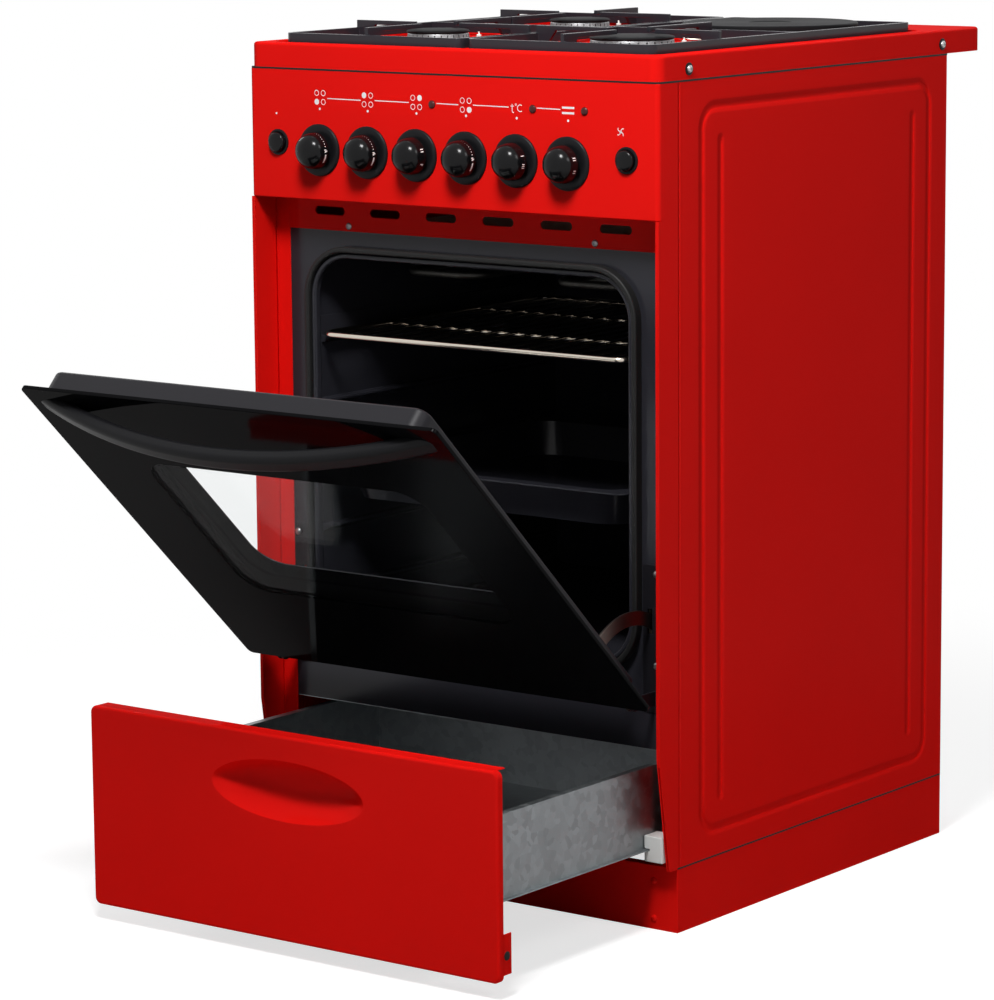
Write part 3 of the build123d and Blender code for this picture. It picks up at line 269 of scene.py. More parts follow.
# %% [markdown]
# The oven door turns on a pin low at its front, and the drawer slides straight out. Both
# movements are given to a finished piece as one placement.


# %% Move door and drawer pieces to where they stand
def swing_open(piece):
    pin = Vector((0, FRONT, HINGE_Z))
    turn = Matrix.Rotation(DOOR_ANGLE, 4, "X")
    piece.matrix_world = Matrix.Translation(pin) @ turn @ Matrix.Translation(-pin)
    write_place(piece)


def pull_out(piece):
    place(piece, (0, -DRAWER_OUT, 0))


# %% [markdown]
# ## Shader groups
#
# Three effects come back in many finishes: the faint ripple and cloudiness of a fired or sprayed
# coat, the fine lines of rolled or brushed metal, and the crystals of a zinc coat. Each is built
# once as a node group, and every material sets its own numbers on it. A few helpers keep the
# wiring short enough to read.


# %% Sockets and nodes
def feed(tree, socket, value):
    """Put a number on an input, or lead another socket into it."""
    if isinstance(value, bpy.types.NodeSocket):
        tree.links.new(value, socket)
    else:
        socket.default_value = value


def fill_in(tree, inputs, values):
    """Feed several inputs by name; an underscore stands for a space."""
    for label, value in values.items():
        feed(tree, inputs[label.replace("_", " ")], value)


def add_node(tree, kind, operation=None, **values):
    node = tree.nodes.new("ShaderNode" + kind)
    if operation:
        node.operation = operation
    fill_in(tree, node.inputs, values)
    return node


def reckon(tree, operation, *values, kind="Math"):
    """One step of arithmetic on numbers, vectors or sockets."""
    node = add_node(tree, kind, operation)
    for socket, value in zip(node.inputs, values):
        feed(tree, socket, value)
    return node.outputs[0]


def map_range(tree, source, low, high):
    """Spread a 0 to 1 value over a low and a high number or socket."""
    return add_node(tree, "MapRange", Value=source, To_Min=low, To_Max=high).outputs["Result"]


def uneven(tree, source, amount):
    """A value about 1 that rises and falls by the amount."""
    return map_range(tree, source, reckon(tree, "SUBTRACT", 1.0, amount),
                     reckon(tree, "ADD", 1.0, amount))


def shade_color(tree, color, factor):
    """Multiply a colour by a grey value."""
    return add_node(tree, "VectorMath", "SCALE", Vector=color, Scale=factor).outputs["Vector"]


def noise(tree, where, scale, detail):
    return add_node(tree, "TexNoise", Vector=where, Scale=scale, Detail=detail).outputs


def new_group(name, inputs, outputs=("Color", "Roughness", "Height")):
    """An empty group: its tree, what comes in, what goes out, and the place on the object."""
    group = bpy.data.node_groups.new(name, "ShaderNodeTree")
    kinds = {"Color": "NodeSocketColor"}
    for label, value in inputs.items():
        socket = group.interface.new_socket(label, in_out="INPUT",
                                            socket_type=kinds.get(label, "NodeSocketFloat"))
        socket.default_value = value
    for label in outputs:
        group.interface.new_socket(label, in_out="OUTPUT",
                                   socket_type=kinds.get(label, "NodeSocketFloat"))
    return (group, group.nodes.new("NodeGroupInput").outputs,
            group.nodes.new("NodeGroupOutput").inputs,
            group.nodes.new("ShaderNodeTexCoord").outputs["Object"])


# %% [markdown]
# A fired coat is never dead flat. Slow clouds change its colour by a few percent, and a fine
# ripple, the orange peel, breaks up the reflections. A little dust makes the gloss uneven.

# %% Coat group
MID_GREY = (0.5, 0.5, 0.5, 1)
coat, enter, leave, where = new_group(
    "coat skin",
    {"Color": MID_GREY, "Roughness": 0.3, "Cloud": 0.06, "Peel Scale": 350.0, "Dust": 0.05})
clouds = noise(coat, where, 7.0, 3.0)["Fac"]
peel = noise(coat, where, enter["Peel Scale"], 1.0)["Fac"]
specks = noise(coat, where, 900.0, 2.0)["Fac"]
shade = uneven(coat, clouds, enter["Cloud"])
dust = reckon(coat, "MULTIPLY", specks, enter["Dust"])
fill_in(coat, leave, {"Color": shade_color(coat, enter["Color"], shade),
                      "Roughness": reckon(coat, "ADD", enter["Roughness"], dust),
                      "Height": peel})
print(coat.name, "of", len(coat.nodes), "nodes")

# %% [markdown]
# Rolled and drawn metal carries fine parallel lines. A noise that is stretched a lot along one
# axis gives them, and the same noise lifts and lowers the roughness.

# %% Metal grain group
grain, enter, leave, where = new_group(
    "metal grain",
    {"Color": MID_GREY, "Roughness": 0.35, "Along": 8.0, "Across": 900.0, "Depth": 0.12})
stretch = add_node(grain, "CombineXYZ", X=enter["Across"], Y=enter["Along"], Z=enter["Across"])
stretched = reckon(grain, "MULTIPLY", where, stretch.outputs[0], kind="VectorMath")
lines = noise(grain, stretched, 1.0, 3.0)["Fac"]
shade = uneven(grain, lines, enter["Depth"])
fill_in(grain, leave, {"Color": shade_color(grain, enter["Color"], shade),
                       "Roughness": reckon(grain, "MULTIPLY", enter["Roughness"], shade),
                       "Height": lines})
print(grain.name, "of", len(grain.nodes), "nodes")

# %% [markdown]
# Zinc freezes on a steel sheet in flat crystals, each a slightly different grey. A Voronoi
# texture gives every cell a random colour, and one channel of it becomes that grey. A slow noise
# bends the cells' straight borders.

# %% Zinc crystal group
zinc, enter, leave, where = new_group(
    "zinc crystals",
    {"Color": MID_GREY, "Roughness": 0.4, "Cell Scale": 120.0, "Contrast": 0.12})
wander = noise(zinc, where, 60.0, 2.0)
drift = add_node(zinc, "VectorMath", "SCALE", Vector=wander["Color"], Scale=0.012).outputs[0]
bent = reckon(zinc, "ADD", where, drift, kind="VectorMath")
cells = add_node(zinc, "TexVoronoi", Vector=bent, Scale=enter["Cell Scale"]).outputs["Color"]
cell_grey = add_node(zinc, "SeparateColor", Color=cells).outputs["Red"]
shade = uneven(zinc, cell_grey, enter["Contrast"])
fill_in(zinc, leave, {"Color": shade_color(zinc, enter["Color"], shade),
                      "Roughness": reckon(zinc, "MULTIPLY", enter["Roughness"], shade),
                      "Height": wander["Fac"]})
print(zinc.name, "of", len(zinc.nodes), "nodes")

# %% [markdown]
# The side panels are stiffened with pressed beads: a ring with round corners and two upright
# lines. On the real sheet a bead is a wide, soft furrow round a narrow bottom. The solid has the
# bottom, and this group gives the height of the soft flanks, from the distance to the bead's
# middle line. A second, narrow furrow is the fold behind the front edge.

# %% Arithmetic of a furrow
bead, enter, leave, where = new_group(
    "pressed bead",
    {"Middle Y": 0.0, "Middle Z": 0.4, "Half Depth": 0.2, "Half Height": 0.35, "Corner": 0.022,
     "Inset": 0.032, "Reach": 0.007, "Fold Y": -0.25, "Fold Reach": 0.0025}, ("Height",))


def work(operation, *values):
    return reckon(bead, operation, *values)


def away_from(coordinate, middle, half):
    """How far a coordinate lies outside a half width about the middle, below 0 inside it."""
    return work("SUBTRACT", work("ABSOLUTE", work("SUBTRACT", coordinate, middle)), half)


def hypotenuse(a, b):
    a, b = work("MAXIMUM", a, 0.0), work("MAXIMUM", b, 0.0)
    return work("SQRT", work("ADD", work("MULTIPLY", a, a), work("MULTIPLY", b, b)))


def furrow(distance, reach):
    """1 on the middle line of a furrow, falling softly to 0 at its reach."""
    near = work("MAXIMUM", work("SUBTRACT", 1.0, work("DIVIDE", distance, reach)), 0.0)
    return work("MULTIPLY", work("MULTIPLY", near, near),
                work("SUBTRACT", 3.0, work("MULTIPLY", near, 2.0)))


# %% [markdown]
# The ring is the outline of a rounded rectangle. The distance to it comes from how far a point
# lies outside the rectangle of the corners' centres. The upright lines stand inside the ring.

# %% Pressed bead group
FOLD_DEPTH = 0.75
spot = add_node(bead, "SeparateXYZ", Vector=where).outputs
out_y = away_from(spot["Y"], enter["Middle Y"], work("SUBTRACT", enter["Half Depth"], enter["Corner"]))
out_z = away_from(spot["Z"], enter["Middle Z"], work("SUBTRACT", enter["Half Height"], enter["Corner"]))
ring = work("ADD", hypotenuse(out_y, out_z), work("MINIMUM", work("MAXIMUM", out_y, out_z), 0.0))
ring = work("ABSOLUTE", work("SUBTRACT", ring, enter["Corner"]))
line_y = work("SUBTRACT", enter["Half Depth"], enter["Inset"])
line_z = work("SUBTRACT", enter["Half Height"], enter["Inset"])
upright = hypotenuse(work("ABSOLUTE", away_from(spot["Y"], enter["Middle Y"], line_y)),
                     away_from(spot["Z"], enter["Middle Z"], line_z))
fold = work("ABSOLUTE", work("SUBTRACT", spot["Y"], enter["Fold Y"]))
beads = work("MAXIMUM", furrow(ring, enter["Reach"]), furrow(upright, enter["Reach"]))
deepest = work("MAXIMUM", beads, work("MULTIPLY", FOLD_DEPTH, furrow(fold, enter["Fold Reach"])))
fill_in(bead, leave, {"Height": work("SUBTRACT", 1.0, deepest)})
print(bead.name, "of", len(bead.nodes), "nodes")

# %% [markdown]
# ## Finishes
#
# A finish is one Principled shader with one of the groups in front of it. What is the same all
# over the surface, such as metallic or the coat, is set on the shader itself.


# %% A finish from a group and a few numbers
def group_node(tree, group, values):
    node = tree.nodes.new("ShaderNodeGroup")
    node.node_tree = group
    fill_in(tree, node.inputs, values)
    return node.outputs


def finish(name, group, color, roughness, bump=0.05, bump_depth=0.0001, settings=None, **shader):
    material = bpy.data.materials.new(name)
    material.use_nodes = True
    material.diffuse_color = (*color, 1)
    tree = material.node_tree
    skin = group_node(tree, group, {"Color": (*color, 1), "Roughness": roughness, **(settings or {})})
    relief = add_node(tree, "Bump", Strength=bump, Distance=bump_depth, Height=skin["Height"])
    fill_in(tree, tree.nodes["Principled BSDF"].inputs,
            {"Base Color": skin["Color"], "Roughness": skin["Roughness"],
             "Normal": relief.outputs["Normal"], **shader})
    return material


def red_coat(name):
    return finish(name, coat, (0.74, 0.007, 0.005), 0.2, bump=0.1,
                  settings={"Cloud": 0.05, "Peel Scale": 260.0},
                  Specular_IOR_Level=0.0, Coat_Weight=0.035, Coat_Roughness=0.04)


# %% [markdown]
# The red coat is a deep, saturated enamel. The black coats range from the glassy enamel of the
# oven to the satin paint of the door frame.

# %% Enamels and paint
finishes = {
    "red_enamel": red_coat("red enamel"),
    "black_enamel": finish("black enamel", coat, (0.022, 0.022, 0.028), 0.16, bump=0.12,
                           settings={"Cloud": 0.1, "Peel Scale": 300.0},
                           Specular_IOR_Level=0.2),
    "burner_enamel": finish("matt black enamel", coat, (0.008, 0.008, 0.009), 0.5, bump=0.3,
                            settings={"Cloud": 0.15, "Peel Scale": 900.0},
                            Specular_IOR_Level=0.03),
    "black_paint": finish("black satin paint", coat, (0.0095, 0.009, 0.0115), 0.42, bump=0.2,
                          settings={"Cloud": 0.12, "Peel Scale": 700.0},
                          Specular_IOR_Level=0.14),
    "print_white": finish("white screen print", coat, (0.8, 0.74, 0.72), 0.5,
                          settings={"Cloud": 0.03}, Specular_IOR_Level=0.1),
}
print(len(finishes), "coats")

# %% [markdown]
# Mouldings, seals, wool and ceramic have the same cloudy skin as a coat, with a ripple of their
# own size, so they use the same group.

# %% Plastics, rubber, wool and ceramic
finishes.update({
    "black_plastic": finish("black gloss plastic", coat, (0.004, 0.004, 0.0045), 0.14, bump=0.05,
                            settings={"Cloud": 0.1, "Peel Scale": 500.0, "Dust": 0.08},
                            Specular_IOR_Level=0.16),
    "satin_black": finish("satin black plastic", coat, (0.006, 0.006, 0.007), 0.36, bump=0.1,
                          settings={"Cloud": 0.1, "Peel Scale": 900.0},
                          Specular_IOR_Level=0.12),
    "white_plastic": finish("white plastic", coat, (0.72, 0.72, 0.70), 0.45, bump=0.1,
                            settings={"Cloud": 0.04}),
    "grey_plastic": finish("grey plastic", coat, (0.2, 0.2, 0.21), 0.5, bump=0.2,
                           settings={"Cloud": 0.06, "Peel Scale": 900.0}),
    "lamp_red": finish("red lamp lens", coat, (0.05, 0.004, 0.003), 0.15,
                       settings={"Cloud": 0.15}, Specular_IOR_Level=0.3),
    "seal": finish("silicone seal", coat, (0.012, 0.012, 0.012), 0.5, bump=0.2,
                   Specular_IOR_Level=0.2),
    "rubber": finish("rubber", coat, (0.008, 0.008, 0.008), 0.6, bump=0.3,
                     Specular_IOR_Level=0.2),
    "wool": finish("mineral wool", coat, (0.62, 0.58, 0.45), 0.9, bump=0.9, bump_depth=0.002,
                   settings={"Cloud": 0.2, "Peel Scale": 140.0}),
    "ceramic": finish("glazed ceramic", coat, (0.8, 0.79, 0.75), 0.2, settings={"Cloud": 0.04}),
})
print(len(finishes), "finishes with the mouldings")

# %% [markdown]
# The side panels take the same enamel, with the beads' soft flanks as a second relief. The ring's
# place follows the panel's edges.

# %% Enamel of the side panels
ring_y, ring_z = (FRONT + 0.072, REAR - 0.035), (0.092, PANEL_TOP - 0.0275)
FLANK_DEPTH = 0.0022
finishes["beaded_enamel"] = red_coat("beaded red enamel")
tree = finishes["beaded_enamel"].node_tree
furrows = group_node(tree, bead, {
    "Middle Y": sum(ring_y) / 2, "Half Depth": (ring_y[1] - ring_y[0]) / 2,
    "Middle Z": sum(ring_z) / 2, "Half Height": (ring_z[1] - ring_z[0]) / 2, "Fold Y": FLANGE})
normal = tree.nodes["Principled BSDF"].inputs["Normal"]
pressed = add_node(tree, "Bump", Strength=1.0, Distance=FLANK_DEPTH, Height=furrows["Height"],
                   Normal=normal.links[0].from_socket)
tree.links.new(pressed.outputs["Normal"], normal)
print("ring of beads", ring_y, ring_z)

# %% [markdown]
# Metals take their look from what they reflect, so only their tint and roughness change. Cast
# iron is blackened and dull, so it is a coat.

# %% Metals
finishes.update({
    "galvanised": finish("galvanised sheet", zinc, (0.29, 0.31, 0.32), 0.46, bump=0.05,
                         Metallic=1.0),
    "steel": finish("plain steel", grain, (0.42, 0.42, 0.42), 0.32, Metallic=1.0),
    "chrome": finish("chromed wire", grain, (0.62, 0.56, 0.48), 0.16,
                     settings={"Depth": 0.05}, Metallic=1.0),
    "aluminium": finish("cast aluminium", grain, (0.2, 0.2, 0.205), 0.42,
                        settings={"Along": 200.0, "Across": 260.0}, Metallic=1.0),
    "cast_iron": finish("blackened cast iron", coat, (0.012, 0.012, 0.013), 0.45, bump=0.5,
                        settings={"Cloud": 0.2, "Peel Scale": 900.0}, Specular_IOR_Level=0.02),
    "brass": finish("machined brass", grain, (0.6, 0.42, 0.16), 0.3, Metallic=1.0),
    "bronze_steel": finish("temper-brown steel", grain, (0.11, 0.095, 0.085), 0.34,
                           Metallic=1.0),
    "element_steel": finish("heated element sheath", grain, (0.05, 0.048, 0.045), 0.5,
                            Metallic=1.0),
})
print(len(finishes), "finishes with the metals")

# %% [markdown]
# Glass keeps a plain transmission. The border of the door is printed black on the back of the
# pane, so it looks like black glass with a smooth, fairly dark reflection.

# %% Glass
finishes.update({
    "door_glass": finish("printed door glass", coat, (0.003, 0.003, 0.0035), 0.04, bump=0.02,
                         settings={"Cloud": 0.2, "Peel Scale": 40.0, "Dust": 0.03},
                         Specular_IOR_Level=0.02),
    "window_glass": finish("clear tinted glass", coat, (0.95, 0.96, 0.96), 0.0, bump=0.0,
                           settings={"Cloud": 0.01, "Dust": 0.0}, Transmission_Weight=1.0,
                           IOR=1.06),
    "lamp_glass": finish("ribbed lamp glass", coat, (0.85, 0.85, 0.8), 0.1,
                         settings={"Dust": 0.0}, Transmission_Weight=0.7),
})
print(len(finishes), "finishes")

# %% [markdown]
# ## Camera
#
# The camera stands to the right of the range and a little above the hob, and looks down and to
# the left. Its place was found from the corners of the body, so the far lens keeps the flat,
# calm perspective of the picture.

# %% Camera
CAMERA_PLACE = Vector((2.4686, -3.4577, 1.0817))
YAW, PITCH, ROLL = radians(37.15), radians(9.51), radians(-0.484)
ahead = Vector((-sin(YAW) * cos(PITCH), cos(YAW) * cos(PITCH), -sin(PITCH)))
level = Vector((cos(YAW), sin(YAW), 0))
upward = level.cross(ahead)
right = cos(ROLL) * level + sin(ROLL) * upward
above = cos(ROLL) * upward - sin(ROLL) * level
turn = Matrix((right, above, -ahead)).transposed().to_4x4()
camera = bpy.data.objects.new("camera", bpy.data.cameras.new("camera"))
camera.data.lens = 149.3
camera.data.sensor_width = 36.0
camera.data.clip_end = 100.0
camera.matrix_world = Matrix.Translation(CAMERA_PLACE) @ turn
bpy.context.scene.collection.objects.link(camera)
bpy.context.scene.camera = camera
print("camera at", [round(v, 3) for v in camera.location])

# %% [markdown]
# ## Copies with soft edges
#
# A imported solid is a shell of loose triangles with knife-sharp edges. Real sheet and moulded
# parts have small radii that catch the light. A copy is merged, its flat triangles are joined
# again, and a bevel rounds the edges.


# %% Soft-edged copies of the solids
def settle(piece, body, material=None, stands_for=(), smooth=40):
    """Shade the piece, give it its finish and let it ride on its body."""
    write_place(piece)
    bpy.ops.object.shade_smooth_by_angle(angle=radians(smooth))
    even_light(piece)
    if material:
        piece.data.materials.clear()
        piece.data.materials.append(finishes[material])
    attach(piece, body)
    if stands_for:
        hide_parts(*stands_for)
    return piece


def dress(node, width, material=None):
    """A merged copy of a node with soft edges, in the node's place."""
    piece = copy_of(frame["nodes"][node])
    piece.name = node + "_skin"
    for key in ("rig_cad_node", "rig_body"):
        if key in piece:
            del piece[key]
    piece.parent = None
    with whole_mesh(piece):
        bpy.ops.mesh.remove_doubles(threshold=0.005 * MM)
        bpy.ops.mesh.dissolve_limited(angle_limit=radians(0.5))
    if width:
        soften(piece, width)
    settle(piece, body_of[node], material or slot_of[node], (node,))


# %% [markdown]
# Sheets get a bevel of a third to half a millimetre, castings and mouldings a little more. Pieces
# deep inside the body keep their solids and only get a material.

# %% Dress the sheets and mouldings
bevels = {
    "side_panel_left": 0.5, "side_panel_right": 0.5, "plinth": 0.6, "vent_strip": 0.4,
    "hob_top": 0.4, "burner_cups": 0.4, "pan_support_left": 0.7, "pan_support_right": 0.7,
    "oven_cavity": 0.5, "shelf_runners": 0.5, "fan_cover": 0.5, "oven_lamp": 0.4,
    "hinge_brackets": 0.4, "hinge_pins": 0.3, "door_inner_glass": 0.4, "drawer_box": 0.3,
    "drawer_guides": 1.2, "drawer_buffers": 0.5, "drawer_rails": 0.3, "terminal_box": 1.0,
    "rear_panel": 0.3, "gas_manifold": 0.3, "spark_electrodes": 0.2, "heat_shield": 0.3,
    "heating_elements": 0.0, "hinge_arms": 0.4,
}
special = {"door_inner_glass": "window_glass", "side_panel_left": "beaded_enamel",
           "side_panel_right": "beaded_enamel", "heating_elements": "element_steel",
           "hinge_brackets": "black_paint", "hinge_arms": "bronze_steel"}
for node, width in bevels.items():
    dress(node, width * MM, special.get(node))
for node, solid in frame["nodes"].items():
    solid.data.materials.clear()
    solid.data.materials.append(finishes[slot_of[node]])
print(len(bevels), "nodes dressed")

# %% [markdown]
# ## Turned pieces
#
# Knobs, discs, lamps, burners and the hotplate are round about one axis. Half of the outline is
# drawn by extruding a single vertex from corner to corner, and then spun through a full turn, as
# a potter's template would do it. Doubles on the axis are merged, so the poles are closed.


# %% Spin an outline
def spun(name, profile, sides, closed=False):
    """A turned piece about Z, from the radius and height of each corner in millimetres."""
    clear_selection()
    bpy.ops.mesh.primitive_plane_add(size=MM)
    piece = name_it(name)
    points = [(radius * MM, height * MM) for radius, height in profile]
    with edit_mode(piece):
        bpy.ops.mesh.select_mode(type="VERT")
        bpy.ops.mesh.select_all(action="SELECT")
        bpy.ops.mesh.merge(type="CENTER")
        bpy.ops.mesh.select_all(action="SELECT")
        bpy.ops.transform.translate(value=(points[0][0], 0, points[0][1]))
        for (r0, z0), (r1, z1) in zip(points, points[1:]):
            step = (r1 - r0, 0, z1 - z0)
            bpy.ops.mesh.extrude_vertices_move(TRANSFORM_OT_translate={"value": step})
        if closed:
            ends = (points[0], points[-1])
            pick(piece, "VERT", lambda v: any(abs(v.co.x - r) + abs(v.co.z - z) < 1e-7
                                              for r, z in ends))
            bpy.ops.mesh.edge_face_add()
        bpy.ops.mesh.select_all(action="SELECT")
        bpy.ops.mesh.spin(steps=sides, angle=2 * pi, center=(0, 0, 0), axis=(0, 0, 1))
        bpy.ops.mesh.select_all(action="SELECT")
        bpy.ops.mesh.remove_doubles(threshold=0.001 * MM)
        bpy.ops.mesh.normals_make_consistent(inside=False)
    return piece


def face_front(piece, x, z, y=FRONT):
    """Stand a turned piece on the control panel, its axis towards the cook."""
    place(piece, (x, y, z), (pi / 2, 0, 0))
    return piece


# %% [markdown]
# The knobs are smooth domes of glossy black plastic on a slightly wider skirt. The gas knobs are
# hollow and fit over a spindle; the electric knobs carry their own shaft. All have a curved crown
# that shows one soft highlight, which needs many small steps in the outline.

# %% Knobs
DOME = [(0, 19.2), (2.6, 19.1), (5.2, 18.75), (7.6, 18.15), (9.8, 17.25), (11.7, 16.15),
        (13.3, 14.9), (14.6, 13.5), (15.5, 12.3), (16.1, 11.3), (16.6, 10.3), (17.0, 9.0),
        (18.3, 2.4), (18.5, 1.9), (18.6, 1.3), (18.5, 0.7), (18.1, 0.2), (17.6, 0)]
HOLLOW = [(16.2, 0), (15.8, 1), (14.2, 9.0), (10.5, 13.5), (6.5, 14.5), (6.5, 0.2)]
GAS_BORE = [(4.1, 0.2), (4.1, 15.9), (0, 15.9)]
SHAFT = [(4.0, 0.0), (4.0, -43.4), (3.4, -44), (0, -44)]
for i, x in enumerate(KNOB_XS):
    node = f"knob_{i + 1}"
    inside = GAS_BORE if i in GAS_KNOBS else SHAFT
    knob = face_front(spun(node + "_dome", DOME + HOLLOW + inside, 72), x, KNOB_Z, KNOB_BACK)
    settle(knob, body_of[node], "black_plastic", (node,), 30)
    print(node, "of", len(knob.data.polygons), "faces")

# %% [markdown]
# The side of each knob carries its scale in white print: a row of shrinking dots, a flame and bars
# on the gas knobs, and short bars on the electric ones. Every mark is a flat shape of degrees and
# millimetres that is laid round the knob, a hair outside its straight side.

# %% Marks laid round a knob
MARK_FOOT, MARK_TAPER, MARK_MEAN = 18.84, 0.197, 17.3


def skirt_mark(corners):
    """A flat mark on the side of a knob, from turns in degrees and heights in millimetres."""
    points = []
    for turn, height in corners:
        radius = (MARK_FOOT - MARK_TAPER * height) * MM
        points.append((radius * cos(radians(turn)), radius * sin(radians(turn)), height * MM))
    return from_points("mark", points, faces=[tuple(range(len(points)))])


def round_mark(turn, height, size, sides=12):
    return skirt_mark([(turn + degrees(size / MARK_MEAN) * cos(2 * pi * i / sides),
                        height + size * sin(2 * pi * i / sides)) for i in range(sides)])


def bar_mark(first, last, low, high):
    return skirt_mark([(first, low), (last, low), (last, high), (first, high)])


# %% [markdown]
# A knob's scale is listed as bars, each from one turn to another and from one height to another.
# The dots of the gas knobs and the long run of short bars follow a rule.

# %% Scales on the knobs
GAS_DOTS = [(16 + 9 * i, 4.9, 0.5 - 0.045 * i) for i in range(8)]
GAS_BARS = ([(-10 - 4 * i, -14 - 4 * i, 3.9, 5.6) for i in range(7)]
            + [(0, 3, 3.2, 6.0), (4, 7, 4.2, 6.8), (-3, 0, 4.4, 6.4)])
ELECTRIC_BARS = {2: [(26, 23, 3.2, 6.8), (18, 15, 3.2, 6.8), (-22, -26, 3.4, 6.6),
                     (-26, -29, 3.4, 4.6)],
                 4: [(22, 19, 3.2, 7.0), (-4, -7, 3.4, 6.6), (-10, -13, 3.4, 6.6),
                     (-16, -19, 3.4, 6.6)],
                 5: [(24, 21, 3.2, 7.0), (17, 14, 3.2, 7.0), (-16, -19, 3.4, 6.4),
                     (-23, -26, 3.4, 6.4)]}


def looks_inwards(face):
    middle = face.calc_center_median()
    return face.normal.x * middle.x + face.normal.y * middle.y < 0


for i, x in enumerate(KNOB_XS):
    marks = [round_mark(*dot) for dot in GAS_DOTS] if i in GAS_KNOBS else []
    marks += [bar_mark(*bar) for bar in ELECTRIC_BARS.get(i, GAS_BARS)]
    scale = join(f"knob_{i + 1}_scale", marks)
    with whole_mesh(scale):
        bpy.ops.mesh.normals_make_consistent(inside=False)
        pick(scale, "FACE", looks_inwards)
        bpy.ops.mesh.flip_normals()
    face_front(scale, x, KNOB_Z, KNOB_BACK)
    settle(scale, body_of[f"knob_{i + 1}"], "print_white")
    print("scale of", len(marks), "marks")

# %% [markdown]
# Behind each knob lies a thin satin disc, and each push button has a narrow rim. They are one
# moulding material, duller than the knobs, so that the knob stands out against it.

# %% Discs and rims
DISC = [(7, 0), (26, 0), (26, 0.9), (25.8, 1.5), (25.2, 2.1), (24.2, 2.6), (22.5, 2.9), (20, 3),
        (7, 3)]
RIM = [(10.3, 0), (13, 0), (13, 0.7), (12.7, 1.2), (12.1, 1.5), (11.3, 1.6), (10.6, 1.4),
       (10.3, 1)]
discs = [face_front(spun("disc", DISC, 72, closed=True), x, KNOB_Z) for x in KNOB_XS]
discs += [face_front(spun("rim", RIM, 48, closed=True), x, BUTTON_Z) for x in BUTTON_XS]
print(len(discs), "discs and rims")
settle(join("bezel_discs", discs), "cabinet", "satin_black", ("bezels",), 30)

# %% [markdown]
# The push buttons are low domes on a stem, and the three pilot lamps are small dark-red domes
# held from behind.

# %% Buttons and lamp lenses
BUTTON = [(0, -36.5), (4, -36.5), (4, -8), (9.8, -8), (10, -7.8), (10, 3.6), (9.8, 4.5),
          (9.3, 5.2), (8.4, 5.8), (7, 6.2), (5, 6.5), (2.5, 6.7), (0, 6.8)]
for x, node in zip(BUTTON_XS, ("ignition_button", "fan_button")):
    cap = face_front(spun(node + "_cap", BUTTON, 56), x, BUTTON_Z)
    settle(cap, body_of[node], "black_plastic", (node,), 30)
LENS = [(0, -7.2), (3, -7.2), (3, -2.7), (5.5, -2.7), (5.5, -1.25), (4.0, -1.25), (4.0, 0.5),
        (3.8, 1.0), (3.3, 1.5), (2.4, 1.9), (1.2, 2.15), (0, 2.2)]
lenses = [face_front(spun("lens", LENS, 40), x, LENS_Z) for x in LENS_XS]
print(len(BUTTON_XS), "buttons and", len(lenses), "lenses")
settle(join("lamp_lenses", lenses), "cabinet", "lamp_red", ("indicator_lenses",), 30)

# %% [markdown]
# A burner is a cast ring with a row of flame ports under a black enamelled cap. The ports are
# small pockets: faces of the ring's upper wall are inset and pushed inwards.

# %% Burner crowns with flame ports
PORT_STEP, PORT_TURN = 12, 3
PORT_LOW, PORT_HIGH = 5.2, 8.2


def crown(radius):
    outer, inner = radius - 4, radius - 14
    outline = [(inner, 2), (outer - 0.4, 2), (outer, 2.6), (outer, 4.4), (outer - 0.3, 5.0),
               (outer - 0.9, 8.4), (outer - 1.2, 9.2), (outer - 1.8, 9.8), (inner, 9.8)]
    ring = spun("crown", outline, 120, closed=True)

    def port(face):
        middle = face.calc_center_median()
        step = (degrees(atan2(middle.y, middle.x)) + 360) % PORT_STEP
        return (middle.xy.length > (outer - 2) * MM and PORT_LOW < middle.z / MM < PORT_HIGH
                and step < PORT_TURN)
    with edit_mode(ring):
        print(pick(ring, "FACE", port), "ports")
        bpy.ops.mesh.inset(thickness=0.25 * MM, depth=0, use_individual=True)
        bpy.ops.mesh.inset(thickness=0.02 * MM, depth=-3.0 * MM, use_individual=True)
    return ring


crowns = []
for x, y, radius in BURNERS:
    crowns.append(crown(radius / MM))
    place(crowns[-1], (x, y, WELL_Z))
settle(join("burner_rings", crowns), "cabinet", "aluminium", ("burner_crowns",), 25)

# %% [markdown]
# The cap lies loose on the crown. Its outline follows the burner's radius, so one rule makes the
# small and the large caps.

# %% Burner caps
CAP_FOOT = 9.8
caps = []
for x, y, radius in BURNERS:
    edge = radius / MM - 4
    dome = [(0, 0), (edge - 1.2, 0), (edge - 0.3, 0.4), (edge, 1.2), (edge - 0.3, 2.0),
            (edge - 1.5, 2.7), (edge - 4, 3.3), (edge * 0.6, 3.8), (edge * 0.3, 3.95), (0, 4)]
    caps.append(spun("cap", dome, 80))
    place(caps[-1], (x, y, WELL_Z + CAP_FOOT * MM))
print(len(caps), "caps")
settle(join("flame_caps", caps), "cabinet", "burner_enamel", ("burner_caps",), 30)

# %% [markdown]
# The hotplate is black cast iron, turned on a lathe: its top shows fine rings round a shallow
# dish. A bright rolled ring keeps spills off its edge.

